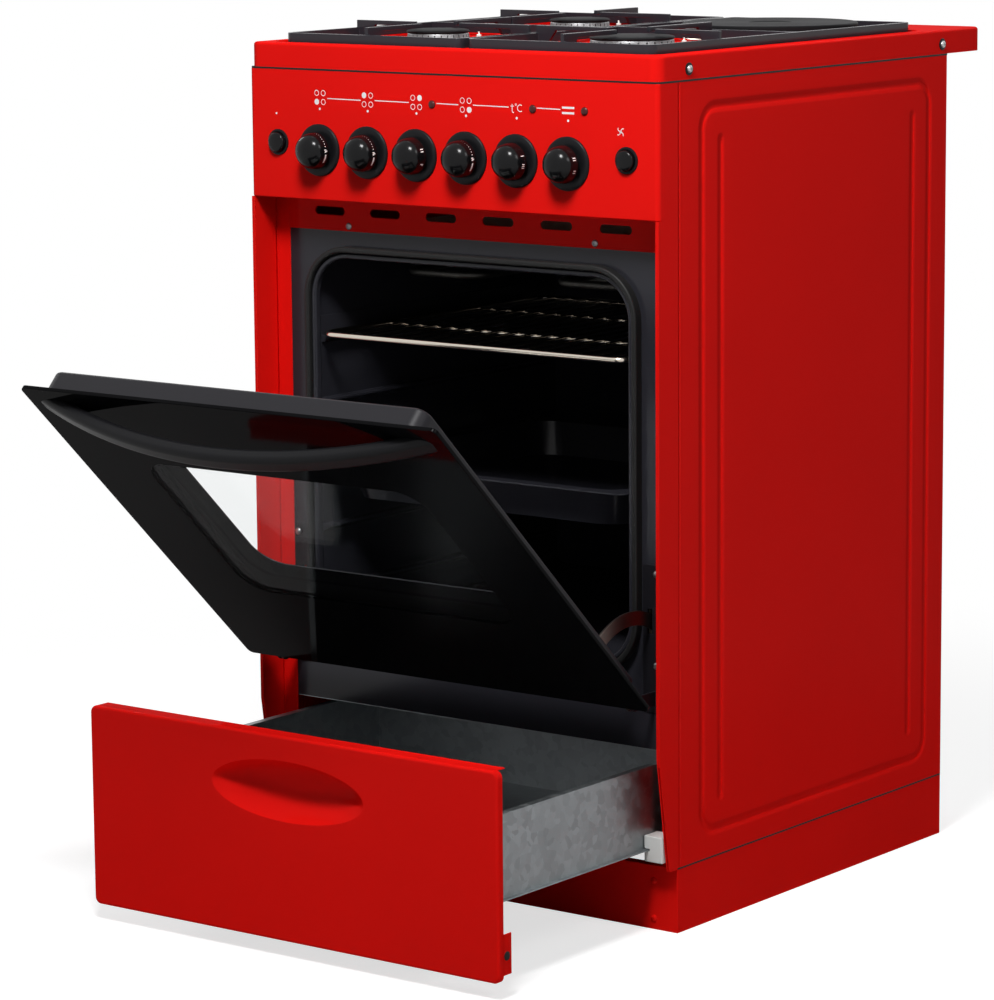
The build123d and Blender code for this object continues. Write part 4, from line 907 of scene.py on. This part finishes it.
# %% Hotplate and its ring
GROOVES = []
for radius in range(84, 26, -3):
    GROOVES += [(radius, 15.0), (radius - 0.5, 14.85), (radius - 1.0, 15.0)]
PLATE = ([(0, -16), (82, -16), (82, 3), (89, 3), (89.7, 3.3), (90, 4), (90, 13), (89.6, 14.2),
          (88.8, 14.8), (87.6, 15)] + GROOVES + [(23.5, 15), (22.5, 14.8), (20.5, 14.1), (19.5, 14),
                                                (0, 14)])
RIM_RING = [(82.5, 0), (95, 0), (95, 0.5), (94.6, 1), (92.6, 4.2), (92.2, 4.8), (91.6, 5),
            (91.1, 4.7), (91, 4.2), (91, 1.5), (82.5, 1.5)]
plate = spun("hotplate_disc", PLATE, 120)
trim = spun("hotplate_trim", RIM_RING, 120, closed=True)
for piece, node in ((plate, "hotplate"), (trim, "hotplate_ring")):
    place(piece, (*HOTPLATE, WELL_Z))
    settle(piece, "cabinet", slot_of[node], (node,), 35)
    print(node, "of", len(piece.data.polygons), "faces")

# %% [markdown]
# ## Control panel
#
# The panel is a shallow pressed box, open at the back. Its upright edges are rounder than its
# long ones and carry a bright line of light from top to bottom. A box is emptied at the back,
# bevelled, and given the thickness of the sheet.

# %% Panel shell
panel_low, panel_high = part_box("control_panel")
SHEET = 0.0008
RETURN = 0.008
UPRIGHT_ROUND, LONG_ROUND = 5 * MM, 1.6 * MM
shell = block("panel_shell", (0, FRONT + RETURN / 2, (panel_low[2] + panel_high[2]) / 2),
              (2 * HALF_WIDTH, RETURN, panel_high[2] - panel_low[2]))
with edit_mode(shell):
    pick(shell, "FACE", lambda f: f.normal.y > 0.9)
    bpy.ops.mesh.delete(type="FACE")
    pick(shell, "EDGE", lambda e: abs(e.verts[0].co.x - e.verts[1].co.x) < 1e-6
         and e.verts[0].co.y < FRONT + 1e-5 and e.verts[1].co.y < FRONT + 1e-5)
    bpy.ops.mesh.bevel(offset=UPRIGHT_ROUND, segments=6)
    pick(shell, "EDGE", lambda e: e.calc_face_angle(0) > radians(60)
         and max(v.co.y for v in e.verts) < FRONT + RETURN - 0.1 * MM)
    bpy.ops.mesh.bevel(offset=LONG_ROUND, segments=4)
thicken(shell, SHEET)
print("panel shell", len(shell.data.polygons), "faces")

# %% [markdown]
# The sheet is drilled for the spindles, the buttons and the lamps. A cylinder for each hole is
# taken out of it in one step.

# %% Holes in the panel
SPINDLE_HOLE, BUTTON_HOLE, LENS_HOLE = 0.009, 0.0103, 0.004
holes = [(x, KNOB_Z, SPINDLE_HOLE) for x in KNOB_XS]
holes += [(x, BUTTON_Z, BUTTON_HOLE) for x in BUTTON_XS]
holes += [(x, LENS_Z, LENS_HOLE) for x in LENS_XS]
drills = []
for x, z, radius in holes:
    clear_selection()
    bpy.ops.mesh.primitive_cylinder_add(vertices=48, radius=radius, depth=0.01,
                                        location=(x, FRONT, z), rotation=(pi / 2, 0, 0))
    drills.append(name_it("drill"))
cut_away(shell, [join("drills", drills)])
print(len(holes), "holes,", len(shell.data.polygons), "faces")

# %% [markdown]
# Under the panel the sheet is folded back as far as the front flange of the side panels. The fold
# is modelled as a strip of its own, a little shorter than the panel.

# %% Lip under the panel
LIP_START, LIP_INSET = 0.004, 0.03
clear_selection()
bpy.ops.mesh.primitive_plane_add(size=1, location=(0, (FRONT + FLANGE) / 2 + LIP_START / 2,
                                                   panel_low[2] + SHEET / 2))
lip = name_it("lip")
bpy.ops.transform.resize(value=(2 * (HALF_WIDTH - LIP_INSET), FLANGE - FRONT - LIP_START, 1))
write_place(lip)
thicken(lip, SHEET, 0)
soften(lip, 0.2 * MM)
panel_front = join("panel_front", [shell, lip])
settle(panel_front, "cabinet", "red_enamel", ("control_panel",), 35)
print("panel", len(panel_front.data.polygons), "faces")

# %% [markdown]
# A thin black strip lies in the joint between the hob's skirt and the panels under it. It is painted
# shade:
# it draws the joint's shadow as a fine dark line round the front and both sides.

# %% Painted shadow line under the hob
SHADE_LINE_OUT, SHADE_LINE_DROP, SHADE_LINE_HEIGHT = 0.0002, 0.0008, 0.0018
# Painted shade: a black strip put where the joint under the hob has only shadow.
seal = block("hob_shade_line", (0, (FRONT + REAR) / 2, PANEL_TOP - SHADE_LINE_DROP),
             (2 * (HALF_WIDTH + SHADE_LINE_OUT), REAR - FRONT + 2 * SHADE_LINE_OUT, SHADE_LINE_HEIGHT))
with edit_mode(seal):
    pick(seal, "FACE", lambda f: abs(f.normal.z) > 0.9 or f.normal.y > 0.9)
    bpy.ops.mesh.delete(type="FACE")
    pick(seal, "EDGE", lambda e: e.calc_face_angle(0) > radians(60))
    bpy.ops.mesh.bevel(offset=6 * MM, segments=6)
thicken(seal, 1.5 * MM)
soften(seal, 0.15 * MM, 1)
# The dark rubber finish is painted shade: it gives the strip the colour of the joint's shadow.
settle(seal, "cabinet", "rubber", (), 35)
print("seal", len(seal.data.polygons), "faces")

# %% [markdown]
# ## Oven door
#
# The outer pane is one large sheet of glass. Its border is printed black and only the window in
# the middle is clear. Both are drawn as loops of vertices, filled, and thickened together, so
# that the window sits in the same sheet.


# %% Flat outlines with round corners
def rounded_loop(width, height, radius, center, steps):
    """Points of a rounded rectangle, counter-clockwise from the lower right corner."""
    points = []
    half_w, half_h = width / 2 - radius, height / 2 - radius
    for corner, (sx, sz) in enumerate(((1, -1), (1, 1), (-1, 1), (-1, -1))):
        for i in range(steps + 1):
            turn = radians(-90 + 90 * corner + 90 * i / steps)
            points.append((center[0] + sx * half_w + radius * cos(turn),
                           center[1] + sz * half_h + radius * sin(turn)))
    return points


def round_edges(count, first=0):
    """The edges that close a loop of points."""
    return [(first + i, first + (i + 1) % count) for i in range(count)]


def face_the_cook(piece):
    """Turn the faces of a flat sheet so that they look towards -Y."""
    with whole_mesh(piece):
        bpy.ops.mesh.normals_make_consistent(inside=False)
        mesh = bmesh.from_edit_mesh(piece.data)
        if sum(face.normal.y * face.calc_area() for face in mesh.faces) > 0:
            bpy.ops.mesh.flip_normals()


def sheet_from_loops(name, loops, y):
    """Fill the space between loops of XZ points, with the face towards the cook."""
    points, edges = [], []
    for loop in loops:
        edges += round_edges(len(loop), len(points))
        points += [(x, y, z) for x, z in loop]
    piece = from_points(name, points, edges)
    with whole_mesh(piece):
        bpy.ops.mesh.fill(use_beauty=True)
        bpy.ops.mesh.dissolve_limited(angle_limit=radians(1))
    face_the_cook(piece)
    return piece


def merge_points(piece, distance=0.001 * MM):
    with whole_mesh(piece):
        bpy.ops.mesh.remove_doubles(threshold=distance)


# %% [markdown]
# The window's outline is used twice: as the hole in the black border and as the clear pane that
# fills it. After the two are merged they share their points, and the sheet has no seam.

# %% Outer pane
GLASS_FRONT = FRONT - 0.012
PANE, PANE_MIDDLE = (0.5, 0.453), (0, 0.4665)
WINDOW, WINDOW_MIDDLE = (0.336, 0.216), (0, 0.477)
window_loop = rounded_loop(*WINDOW, 0.030, WINDOW_MIDDLE, 16)
pane = sheet_from_loops("pane", [rounded_loop(*PANE, 0.006, PANE_MIDDLE, 6), window_loop],
                        GLASS_FRONT)
window = sheet_from_loops("window", [window_loop], GLASS_FRONT)
pane.data.materials.append(finishes["door_glass"])
window.data.materials.append(finishes["window_glass"])
pane = join("door_pane", [pane, window])
merge_points(pane)
face_the_cook(pane)
thicken(pane, 4 * MM)
soften(pane, 0.6 * MM, 2, 60)
swing_open(pane)
settle(pane, "door", None, ("door_outer_glass",), 30)
print("pane", len(pane.data.polygons), "faces", [m.name for m in pane.data.materials])

# %% [markdown]
# The handle is one thick bow with a rounded section. The section is spun about a far centre, and
# the ends are cut off flush with the glass.

# %% Bow handle
BOW_HALF_SPAN, BOW_REACH, BOW_Z = 0.236, 0.044, 0.667
BOW_DEPTH, BOW_HEIGHT = 0.015, 0.020
BOW_RADIUS = (BOW_HALF_SPAN ** 2 + BOW_REACH ** 2) / (2 * BOW_REACH)
BOW_HALF = asin(BOW_HALF_SPAN / BOW_RADIUS) + radians(2)
bow_center = (0, GLASS_FRONT - BOW_REACH + BOW_RADIUS, BOW_Z)
section = rounded_loop(BOW_DEPTH, BOW_HEIGHT, 0.0058, (BOW_RADIUS - BOW_DEPTH / 2, 0), 8)
start = -pi / 2 - BOW_HALF
bow = from_points("door_bow", [(bow_center[0] + r * cos(start), bow_center[1] + r * sin(start),
                                bow_center[2] + h) for r, h in section],
                  round_edges(len(section)))
merge_points(bow, 0.0001 * MM)
with whole_mesh(bow):
    bpy.ops.mesh.spin(steps=72, angle=2 * BOW_HALF, center=bow_center, axis=(0, 0, -1))
    bpy.ops.mesh.select_all(action="SELECT")
    bpy.ops.mesh.bisect(plane_co=(0, GLASS_FRONT, 0), plane_no=(0, 1, 0), use_fill=True,
                        clear_outer=True)
    bpy.ops.mesh.select_all(action="SELECT")
    bpy.ops.mesh.normals_make_consistent(inside=False)
swing_open(bow)
settle(bow, "door", "satin_black", ("door_handle",), 40)
print("bow", len(bow.data.polygons), "faces")

# %% [markdown]
# The black frame behind the glass is a stepped pressing. Its solid has every step, so it is only
# copied and softened.

# %% Door frame
dress("door_frame", 0.4 * MM, "black_paint")
print("door done")

# %% [markdown]
# ## Drawer front
#
# The drawer front is a shallow pressed pan with a rounded edge. A finger scoop is pressed into
# it: an ellipse with a crisp, deep upper edge that the fingers pull on, and a gentle ramp below.
# Plate, edge and scoop are rings of points that share their outlines, so they join without a gap.

# %% Rings of points
DRAWER_FACE = FRONT - 0.010
DRAWER_SIZE, DRAWER_MIDDLE = (0.5, 0.2), (0, 0.116)
DRAWER_CORNER, DRAWER_ROUND = 0.007, 0.003
SCOOP_HALF_WIDTH, SCOOP_HALF_HEIGHT, SCOOP_DEPTH = 0.093, 0.0295, 0.022
SCOOP_Z = 0.163
RAMP_START, RAMP_SPAN = -0.3, 0.9
GENTLE_POWER, CRISP_POWER = 1.9, 4.6


def walls_between(name, loops, cap=False):
    """Quads between closed loops of as many points each; the last loop may be capped."""
    count = len(loops[0])
    faces = []
    for level in range(len(loops) - 1):
        low, high = level * count, (level + 1) * count
        faces += [(low + i, low + (i + 1) % count, high + (i + 1) % count, high + i)
                  for i in range(count)]
    if cap:
        faces.append(tuple(range((len(loops) - 1) * count, len(loops) * count)))
    return from_points(name, [point for loop in loops for point in loop], faces=faces)


def ellipse(scale, steps=128):
    return [(SCOOP_HALF_WIDTH * scale * cos(2 * pi * i / steps),
             SCOOP_Z + SCOOP_HALF_HEIGHT * scale * sin(2 * pi * i / steps)) for i in range(steps)]


def scoop_depth(x, z):
    """How far the pressing lies behind the front at a point."""
    u, w = x / SCOOP_HALF_WIDTH, (z - SCOOP_Z) / SCOOP_HALF_HEIGHT
    reach = min(1.0, sqrt(u * u + w * w))
    upper = min(1.0, max(0.0, (w - RAMP_START) / RAMP_SPAN))
    power = GENTLE_POWER + CRISP_POWER * upper * upper * (3 - 2 * upper)
    return SCOOP_DEPTH * (1 - reach ** power)


# %% [markdown]
# The scoop's rings lie closer together near its rim, where it falls fastest. The edge turns back
# through a quarter circle and then runs straight.

# %% Plate, edge and scoop
rings = [1.015, 1.0, 0.985, 0.965, 0.94, 0.91, 0.87, 0.82, 0.76, 0.69, 0.61, 0.52, 0.42, 0.31,
         0.19, 0.07]
EDGE_DEPTH = 0.008
scoop = walls_between("scoop", [[(x, DRAWER_FACE + scoop_depth(x, z), z) for x, z in ellipse(ring)]
                                for ring in rings], cap=True)
edge_loops = []
for turn in (0, 18, 36, 54, 72, 90):
    inset = DRAWER_ROUND * (1 - sin(radians(turn)))
    depth = DRAWER_ROUND * (1 - cos(radians(turn)))
    outline = rounded_loop(DRAWER_SIZE[0] - 2 * inset, DRAWER_SIZE[1] - 2 * inset,
                           DRAWER_CORNER - inset, DRAWER_MIDDLE, 8)
    edge_loops.append([(x, DRAWER_FACE + depth, z) for x, z in outline])
edge_loops.append([(x, DRAWER_FACE + EDGE_DEPTH, z) for x, _, z in edge_loops[-1]])
edge = walls_between("edge", edge_loops)
plate = sheet_from_loops("drawer_plate", [[(x, z) for x, _, z in edge_loops[0]],
                                          ellipse(rings[0])], DRAWER_FACE)
pull = join("drawer_plate", [plate, scoop, edge])
merge_points(pull)
face_the_cook(pull)
thicken(pull, 1.2 * MM)
print("drawer plate", len(pull.data.polygons), "faces")

# %% [markdown]
# The pan's top edge is folded back as a flange, and a tab stands at each lower side for the
# buffer.


# %% Folded top and side tabs
def slab(low, high):
    """A folded flange of the sheet, with its edges softened."""
    piece = block("flange", [(a + b) / 2 for a, b in zip(low, high)],
                  [b - a for a, b in zip(low, high)])
    soften(piece, 0.3 * MM, 2)
    return piece


FOLD_FRONT, FOLD_BACK = DRAWER_FACE + 0.007, DRAWER_FACE + 0.020
TOP_FOLD_X, TOP_FOLD_Z = (-0.244, 0.244), (0.2148, 0.216)
TAB_XS, TAB_Z = ((-0.25, -0.2488), (0.2488, 0.25)), (0.023, 0.062)
folds = [(TOP_FOLD_X, TOP_FOLD_Z)] + [(tab_x, TAB_Z) for tab_x in TAB_XS]
flanges = [slab((x[0], FOLD_FRONT, z[0]), (x[1], FOLD_BACK, z[1])) for x, z in folds]
pull = join("drawer_panel", [pull] + flanges)
pull_out(pull)
settle(pull, "drawer", "red_enamel", ("drawer_front",), 35)
print("drawer front", len(pull.data.polygons), "faces")

# %% [markdown]
# A rubber buffer is pushed through each tab. Its head shows as a small black dome.

# %% Buffer heads
HEAD = [(0, 0.9), (2.6, 0.8), (3.8, 0.45), (4.4, 0)]
BUFFER_IN, BUFFER_Z = 0.013, 0.041
heads = []
for side in (-1, 1):
    heads.append(spun("buffer_head", HEAD, 32))
    place(heads[-1], (side * HALF_WIDTH, DRAWER_FACE + BUFFER_IN, BUFFER_Z), (0, side * pi / 2, 0))
heads = join("buffer_heads", heads)
pull_out(heads)
settle(heads, "drawer", "rubber")
print("buffer heads", len(heads.data.polygons), "faces")

# %% [markdown]
# ## Wire shelf
#
# The shelf is bent from chromed wire: a rim with rounded corners, two cross wires and seventeen
# long wires welded on top. A wire is a curve with a round section, turned into a mesh.


# %% One wire
def wire(points, radius, cyclic=False):
    curve = bpy.data.curves.new("wire", "CURVE")
    curve.dimensions = "3D"
    curve.bevel_depth = radius
    curve.bevel_resolution = 4
    curve.use_fill_caps = True
    line = curve.splines.new("POLY")
    line.points.add(len(points) - 1)
    for point, place_at in zip(line.points, points):
        point.co = (*place_at, 1)
    line.use_cyclic_u = cyclic
    piece = bpy.data.objects.new("wire", curve)
    bpy.context.scene.collection.objects.link(piece)
    choose(piece)
    bpy.ops.object.convert(target="MESH")
    return bpy.context.object


# %% [markdown]
# The rim fits the box of the shelf's solid. The long wires are spread evenly between its sides,
# and the cross wires lie a little lower and hold them.

# %% Shelf
RIM_WIRE, LONG_WIRE, CROSS_WIRE = 0.003, 0.0015, 0.002
LONG_WIRES, LONG_INSET = 17, 0.022
shelf_low, shelf_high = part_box("oven_shelf")
shelf_z = shelf_low[2] + RIM_WIRE
half_x = shelf_high[0] - RIM_WIRE
first_y, last_y = shelf_low[1] + RIM_WIRE, shelf_high[1] - RIM_WIRE
rim_loop = rounded_loop(2 * half_x, last_y - first_y, 0.014, (0, (first_y + last_y) / 2), 6)
wires = [wire([(x, y, shelf_z) for x, y in rim_loop], RIM_WIRE, cyclic=True)]
for i in range(LONG_WIRES):
    x = (shelf_high[0] - LONG_INSET) * (2 * i / (LONG_WIRES - 1) - 1)
    wires.append(wire([(x, first_y, shelf_z + MM), (x, last_y, shelf_z + MM)], LONG_WIRE))
for part in (0.3, 0.7):
    y = first_y + (last_y - first_y) * part
    wires.append(wire([(-half_x, y, shelf_z - MM), (half_x, y, shelf_z - MM)], CROSS_WIRE))
grid = join("shelf_wires", wires)
settle(grid, "shelf", "chrome", ("oven_shelf",), 60)
print("shelf", len(grid.data.polygons), "faces")

# %% [markdown]
# ## Screws
#
# The side screws have a black washer and a bright pan head with a cross recess. The small screws
# of the plinth are enamelled with it, those of the vent strip and the brackets are plain metal.

# %% Screw head with a cross recess
PAN = [(0, 3.2), (1.4, 3.15), (2.4, 2.9), (3.2, 2.4), (3.6, 1.7), (3.7, 1.1), (3.7, 0.9), (0, 0.9)]
WASHER = [(0, 0), (5.9, 0), (6.0, 0.15), (6.0, 0.75), (5.8, 0.95), (5.4, 1.0), (3.6, 1.0), (0, 1.0)]
SMALL = [(0, 2.0), (1.3, 1.95), (2.4, 1.6), (3.2, 1.0), (3.6, 0.3), (3.6, 0)]
CROSS_LONG, CROSS_NARROW = 3.4 * MM, 0.8 * MM


def cross_head(name, profile, sides, depth):
    """A head with a cross pressed into its top."""
    head = spun(name, profile, sides)
    top = (0, 0, profile[0][1] * MM)
    cut_away(head, [block("bit", top, (long, wide, 2 * depth * MM)) for long, wide in
                    ((CROSS_LONG, CROSS_NARROW), (CROSS_NARROW, CROSS_LONG))])
    return head


def in_finish(piece, name):
    piece.data.materials.append(finishes[name])
    return piece


side_screw = join("side_screw", [in_finish(cross_head("pan", PAN, 32, 1.2), "steel"),
                                 in_finish(spun("washer", WASHER, 40), "satin_black")])
small = cross_head("small_head", SMALL, 28, 0.9)
vent_screw = in_finish(copy_of(small), "aluminium")
bracket_screw = in_finish(copy_of(small), "steel")
plinth_screw = in_finish(small, "red_enamel")
print("side screw", len(side_screw.data.polygons), "faces, small", len(small.data.polygons))

# %% [markdown]
# Each head is copied to its places. A screw seldom stops with its cross upright, so each kind of
# small head stands a little skew.

# %% Set the screws
SIDE_SCREW_YS, SIDE_SCREW_Z = (-0.225, 0.235), 0.8355
PLINTH_SCREW, PLINTH_SCREW_ZS = (0.222, -0.245), (0.011, 0.049)
VENT_SCREW = (0.152, -0.241, 0.6665)
BRACKET_SCREW, BRACKET_SCREW_ZS = (0.223, -0.2413), (0.261, 0.351)
screws = []


def set_screw(head, location, rotation):
    screws.append(copy_of(head))
    place(screws[-1], location, rotation)


for side in (-1, 1):
    for y in SIDE_SCREW_YS:
        set_screw(side_screw, (side * HALF_WIDTH, y, SIDE_SCREW_Z), (0, side * pi / 2, 0))
    for z in PLINTH_SCREW_ZS:
        set_screw(plinth_screw, (side * PLINTH_SCREW[0], PLINTH_SCREW[1], z), (pi / 2, 0.3, 0))
    set_screw(vent_screw, (side * VENT_SCREW[0], *VENT_SCREW[1:]), (pi / 2, 0.5, 0))
    for z in BRACKET_SCREW_ZS:
        set_screw(bracket_screw, (side * BRACKET_SCREW[0], BRACKET_SCREW[1], z), (pi / 2, 0.2, 0))
heads = join("screw_heads", screws)
settle(heads, "cabinet", None, ("cabinet_screws",), 30)
throw_away([side_screw, plinth_screw, vent_screw, bracket_screw])
print("screws", len(heads.data.polygons), "faces")

# %% [markdown]
# ## White print
#
# The panel carries small white signs: four rings with one filled for each burner knob, the sign
# for temperature, two bars for the oven mode and a fan. They are generic signs of a cooker. Print
# has no thickness to speak of, so each sign is a flat shape that lies a hair before the enamel.

# %% Flat signs
INK = 0.00006
signs = []


def ink(points, faces=None):
    """A flat printed shape on the panel, from its corners in millimetres."""
    signs.append(from_points("ink", [(x * MM, FRONT - INK, z * MM) for x, z in points],
                             faces=faces or [tuple(range(len(points)))]))


def circle(x, z, radius, steps):
    return [(x + radius * cos(2 * pi * i / steps), z + radius * sin(2 * pi * i / steps))
            for i in range(steps)]


def ink_dot(x, z, radius):
    ink(circle(x, z, radius, 24))


def ink_ring(x, z, outer, inner, steps=28):
    ink(circle(x, z, outer, steps) + circle(x, z, inner, steps),
        [(i, (i + 1) % steps, steps + (i + 1) % steps, steps + i) for i in range(steps)])


def ink_bar(x0, z0, x1, z1, width):
    run = Vector((x1 - x0, z1 - z0))
    side = Vector((-run.y, run.x)).normalized() * width / 2
    ink([(x0 + side.x, z0 + side.y), (x0 - side.x, z0 - side.y),
         (x1 - side.x, z1 - side.y), (x1 + side.x, z1 + side.y)])


def ink_arc(x, z, radius, first, last, width, steps=14):
    turns = [radians(first + (last - first) * i / steps) for i in range(steps + 1)]
    count = len(turns)
    ink([(x + r * cos(t), z + r * sin(t)) for r in (radius + width / 2, radius - width / 2)
         for t in turns], [(i, i + 1, count + i + 1, count + i) for i in range(count - 1)])


# %% [markdown]
# Each burner sign shows the four places of the hob with the knob's own one filled. Thin lines
# lead from sign to sign, and a dot stands over each knob.

# %% Burner signs and lines
BURNER_SIGNS = [(-158.9, 797.3, (-1, -1)), (-98.6, 797.0, (-1, 1)), (-37.5, 796.7, (1, 1)),
                (23.3, 796.2, (1, -1))]
RING_STEP_X, RING_STEP_Z = 4.2, 4.4
RING_OUTER, RING_INNER = 2.9, 2.25
LINE_START_Z, LINE_END_Z, LINE_WIDTH = 796.6, 796.3, 0.9
LINE_ENDS = ((-149.5, -107.2), (-89.3, -46.8), (-12.6, 14.3), (32.2, 75.2), (108.7, 136.6))
KNOB_DOT_SHIFT, KNOB_DOT_Z = 1.2, 786.0
BUTTON_DOT = (-215.5, 779.7)
for x, z, filled in BURNER_SIGNS:
    for sx in (-1, 1):
        for sz in (-1, 1):
            spot = (x + sx * RING_STEP_X, z + sz * RING_STEP_Z)
            if (sx, sz) == filled:
                ink_dot(*spot, RING_OUTER)
            else:
                ink_ring(*spot, RING_OUTER, RING_INNER)
for x0, x1 in LINE_ENDS:
    ink_bar(x0, LINE_START_Z, x1, LINE_END_Z, LINE_WIDTH)
for x in KNOB_XS:
    ink_dot(x / MM + KNOB_DOT_SHIFT, KNOB_DOT_Z, 1.25)
ink_dot(*BUTTON_DOT, 1.1)
print(len(signs), "signs for the burners")

# %% [markdown]
# The last signs are drawn from short bars and arcs, as a sign painter would with a ruling pen.

# %% Temperature, oven mode and fan signs
FAN_SIGN, BLADE_OFFSET = (206.7, 777.8), 2.9
ink_bar(79.4, 799.4, 79.4, 792.6, 0.8)
ink_arc(80.9, 792.8, 1.5, 180, 290, 0.8)
ink_bar(77.6, 797.4, 81.6, 797.4, 0.8)
ink_ring(83.8, 799.0, 1.0, 0.5, 16)
ink_arc(89.0, 795.7, 3.2, 50, 310, 0.8)
ink_bar(138.5, 798.2, 152.9, 798.2, 2.0)
ink_bar(138.5, 793.1, 152.9, 793.1, 2.0)
for blade in range(4):
    turn = radians(90 * blade + 20)
    cx, cz = FAN_SIGN[0] + BLADE_OFFSET * cos(turn), FAN_SIGN[1] + BLADE_OFFSET * sin(turn)
    ink_arc(cx, cz, 2.0, 90 * blade + 60, 90 * blade + 250, 0.8)
ink_dot(*FAN_SIGN, 0.7)
print_sheet = join("panel_print", signs)
face_the_cook(print_sheet)
settle(print_sheet, "cabinet", "print_white")
print("print", len(print_sheet.data.polygons), "faces")

# %% [markdown]
# The side panels stand on the plinth with a narrow dark joint between them.

# %% Joints over the plinth
JOINT_Z, JOINT_DEPTH, JOINT_HEIGHT = 0.0645, 0.0006, 0.0015
joints = []
for side in (-1, 1):
    joints.append(block("joint", (side * HALF_WIDTH, -0.5 * MM, JOINT_Z),
                        (JOINT_DEPTH, 2 * REAR - MM, JOINT_HEIGHT)))
    soften(joints[-1], 0.15 * MM, 2)
settle(join("plinth_joints", joints), "cabinet", "rubber", (), 35)

# %% [markdown]
# ## Floor and light
#
# The floor is plain and pale. Near the range it is a matt floor that takes its shadow, lifted by
# a glow that only the camera and the glass see. Further away it fades into the white of the
# background, also for what shows in gloss. The light that it throws back on the range stays that
# of a plain floor.


# %% Which rays see the white background
def background_rays(tree, others=("Is Glossy Ray", "Is Transmission Ray")):
    """1 for the camera's rays and for the others named here."""
    path = tree.nodes.new("ShaderNodeLightPath").outputs
    total = path["Is Camera Ray"]
    for label in others:
        total = reckon(tree, "MAXIMUM", total, path[label])
    return total


# %% [markdown]
# The plain floor is a Principled shader with a faint mottle. The glow is added to it, and the
# white is mixed in by the distance from the middle of the range.

# %% Floor
FLOOR_SIZE = 80
FLOOR_DARK, FLOOR_PALE = 0.47, 0.5
FADE_START, FADE_END = 0.55, 1.5
NEAR_GLOW = 0.68
clear_selection()
bpy.ops.mesh.primitive_plane_add(size=FLOOR_SIZE)
floor = name_it("floor")
ground = bpy.data.materials.new("pale floor")
ground.use_nodes = True
tree = ground.node_tree
spot = tree.nodes.new("ShaderNodeNewGeometry").outputs["Position"]
tone = map_range(tree, noise(tree, spot, 3.0, 4.0)["Fac"], FLOOR_DARK, FLOOR_PALE)
paint = add_node(tree, "CombineColor", Red=tone, Green=tone, Blue=tone).outputs["Color"]
surface = tree.nodes["Principled BSDF"]
fill_in(tree, surface.inputs, {"Base Color": paint, "Roughness": 0.8, "Specular IOR Level": 0.1})
away = add_node(tree, "VectorMath", "LENGTH", Vector=spot).outputs["Value"]
fade = add_node(tree, "MapRange", Value=away, From_Min=FADE_START, From_Max=FADE_END)
fade.interpolation_type = "SMOOTHSTEP"
amount = reckon(tree, "MULTIPLY", fade.outputs["Result"], background_rays(tree))
lift = reckon(tree, "MULTIPLY", background_rays(tree, ("Is Transmission Ray",)), NEAR_GLOW)
glow = add_node(tree, "Emission", Strength=lift)
white = add_node(tree, "Emission", Strength=1.0)
near = tree.nodes.new("ShaderNodeAddShader")
tree.links.new(surface.outputs["BSDF"], near.inputs[0])
tree.links.new(glow.outputs["Emission"], near.inputs[1])
blend = add_node(tree, "MixShader", Fac=amount)
tree.links.new(near.outputs["Shader"], blend.inputs[1])
tree.links.new(white.outputs["Emission"], blend.inputs[2])
tree.links.new(blend.outputs["Shader"], tree.nodes["Material Output"].inputs["Surface"])
floor.data.materials.append(ground)
print("floor fades from", FADE_START, "to", FADE_END, "m")

# %% [markdown]
# The light is soft studio light from five square lamps. The key hangs in front, above and a little
# to the right, so that the knobs throw their shadows down and the strip under the panel stays
# dark. Weaker lamps fill the right side, the left side and the rear, and one hangs over the hob.


# %% Lights
def soft_light(name, place_at, aim, size, power):
    lamp = bpy.data.lights.new(name, "AREA")
    lamp.shape = "SQUARE"
    lamp.size = size
    lamp.energy = power
    piece = bpy.data.objects.new(name, lamp)
    piece.location = place_at
    direction = Vector(aim) - Vector(place_at)
    piece.rotation_euler = direction.to_track_quat("-Z", "Y").to_euler()
    bpy.context.scene.collection.objects.link(piece)
    print(name, power, "W")


soft_light("key", (0.5, -1.25, 2.0), (0, -0.3, 0.7), 0.4, 36)
soft_light("right fill", (2.0, -0.6, 1.9), (0.1, 0, 0.6), 0.7, 10)
soft_light("left fill", (-2.2, 0.3, 1.9), (-0.1, 0, 0.6), 0.8, 12)
soft_light("rear fill", (0.3, 2.4, 2.0), (0, 0.2, 0.6), 0.8, 8)
soft_light("top", (-0.3, 0.5, 2.6), (0, 0, 0.5), 1.2, 6)

# %% [markdown]
# The world is white where it is seen and a tenth as bright where it only lights the range, so that
# the lamps keep the shadows clear.

# %% World
WORLD_LIGHT, WORLD_SEEN = 0.1, 1.0
world = bpy.data.worlds.new("studio")
bpy.context.scene.world = world
world.use_nodes = True
sky = world.node_tree
fill_in(sky, sky.nodes["Background"].inputs,
        {"Color": (1, 1, 1, 1),
         "Strength": map_range(sky, background_rays(sky), WORLD_LIGHT, WORLD_SEEN)})
bpy.context.scene.view_settings.view_transform = "Standard"
print("world", WORLD_LIGHT, "to", WORLD_SEEN)
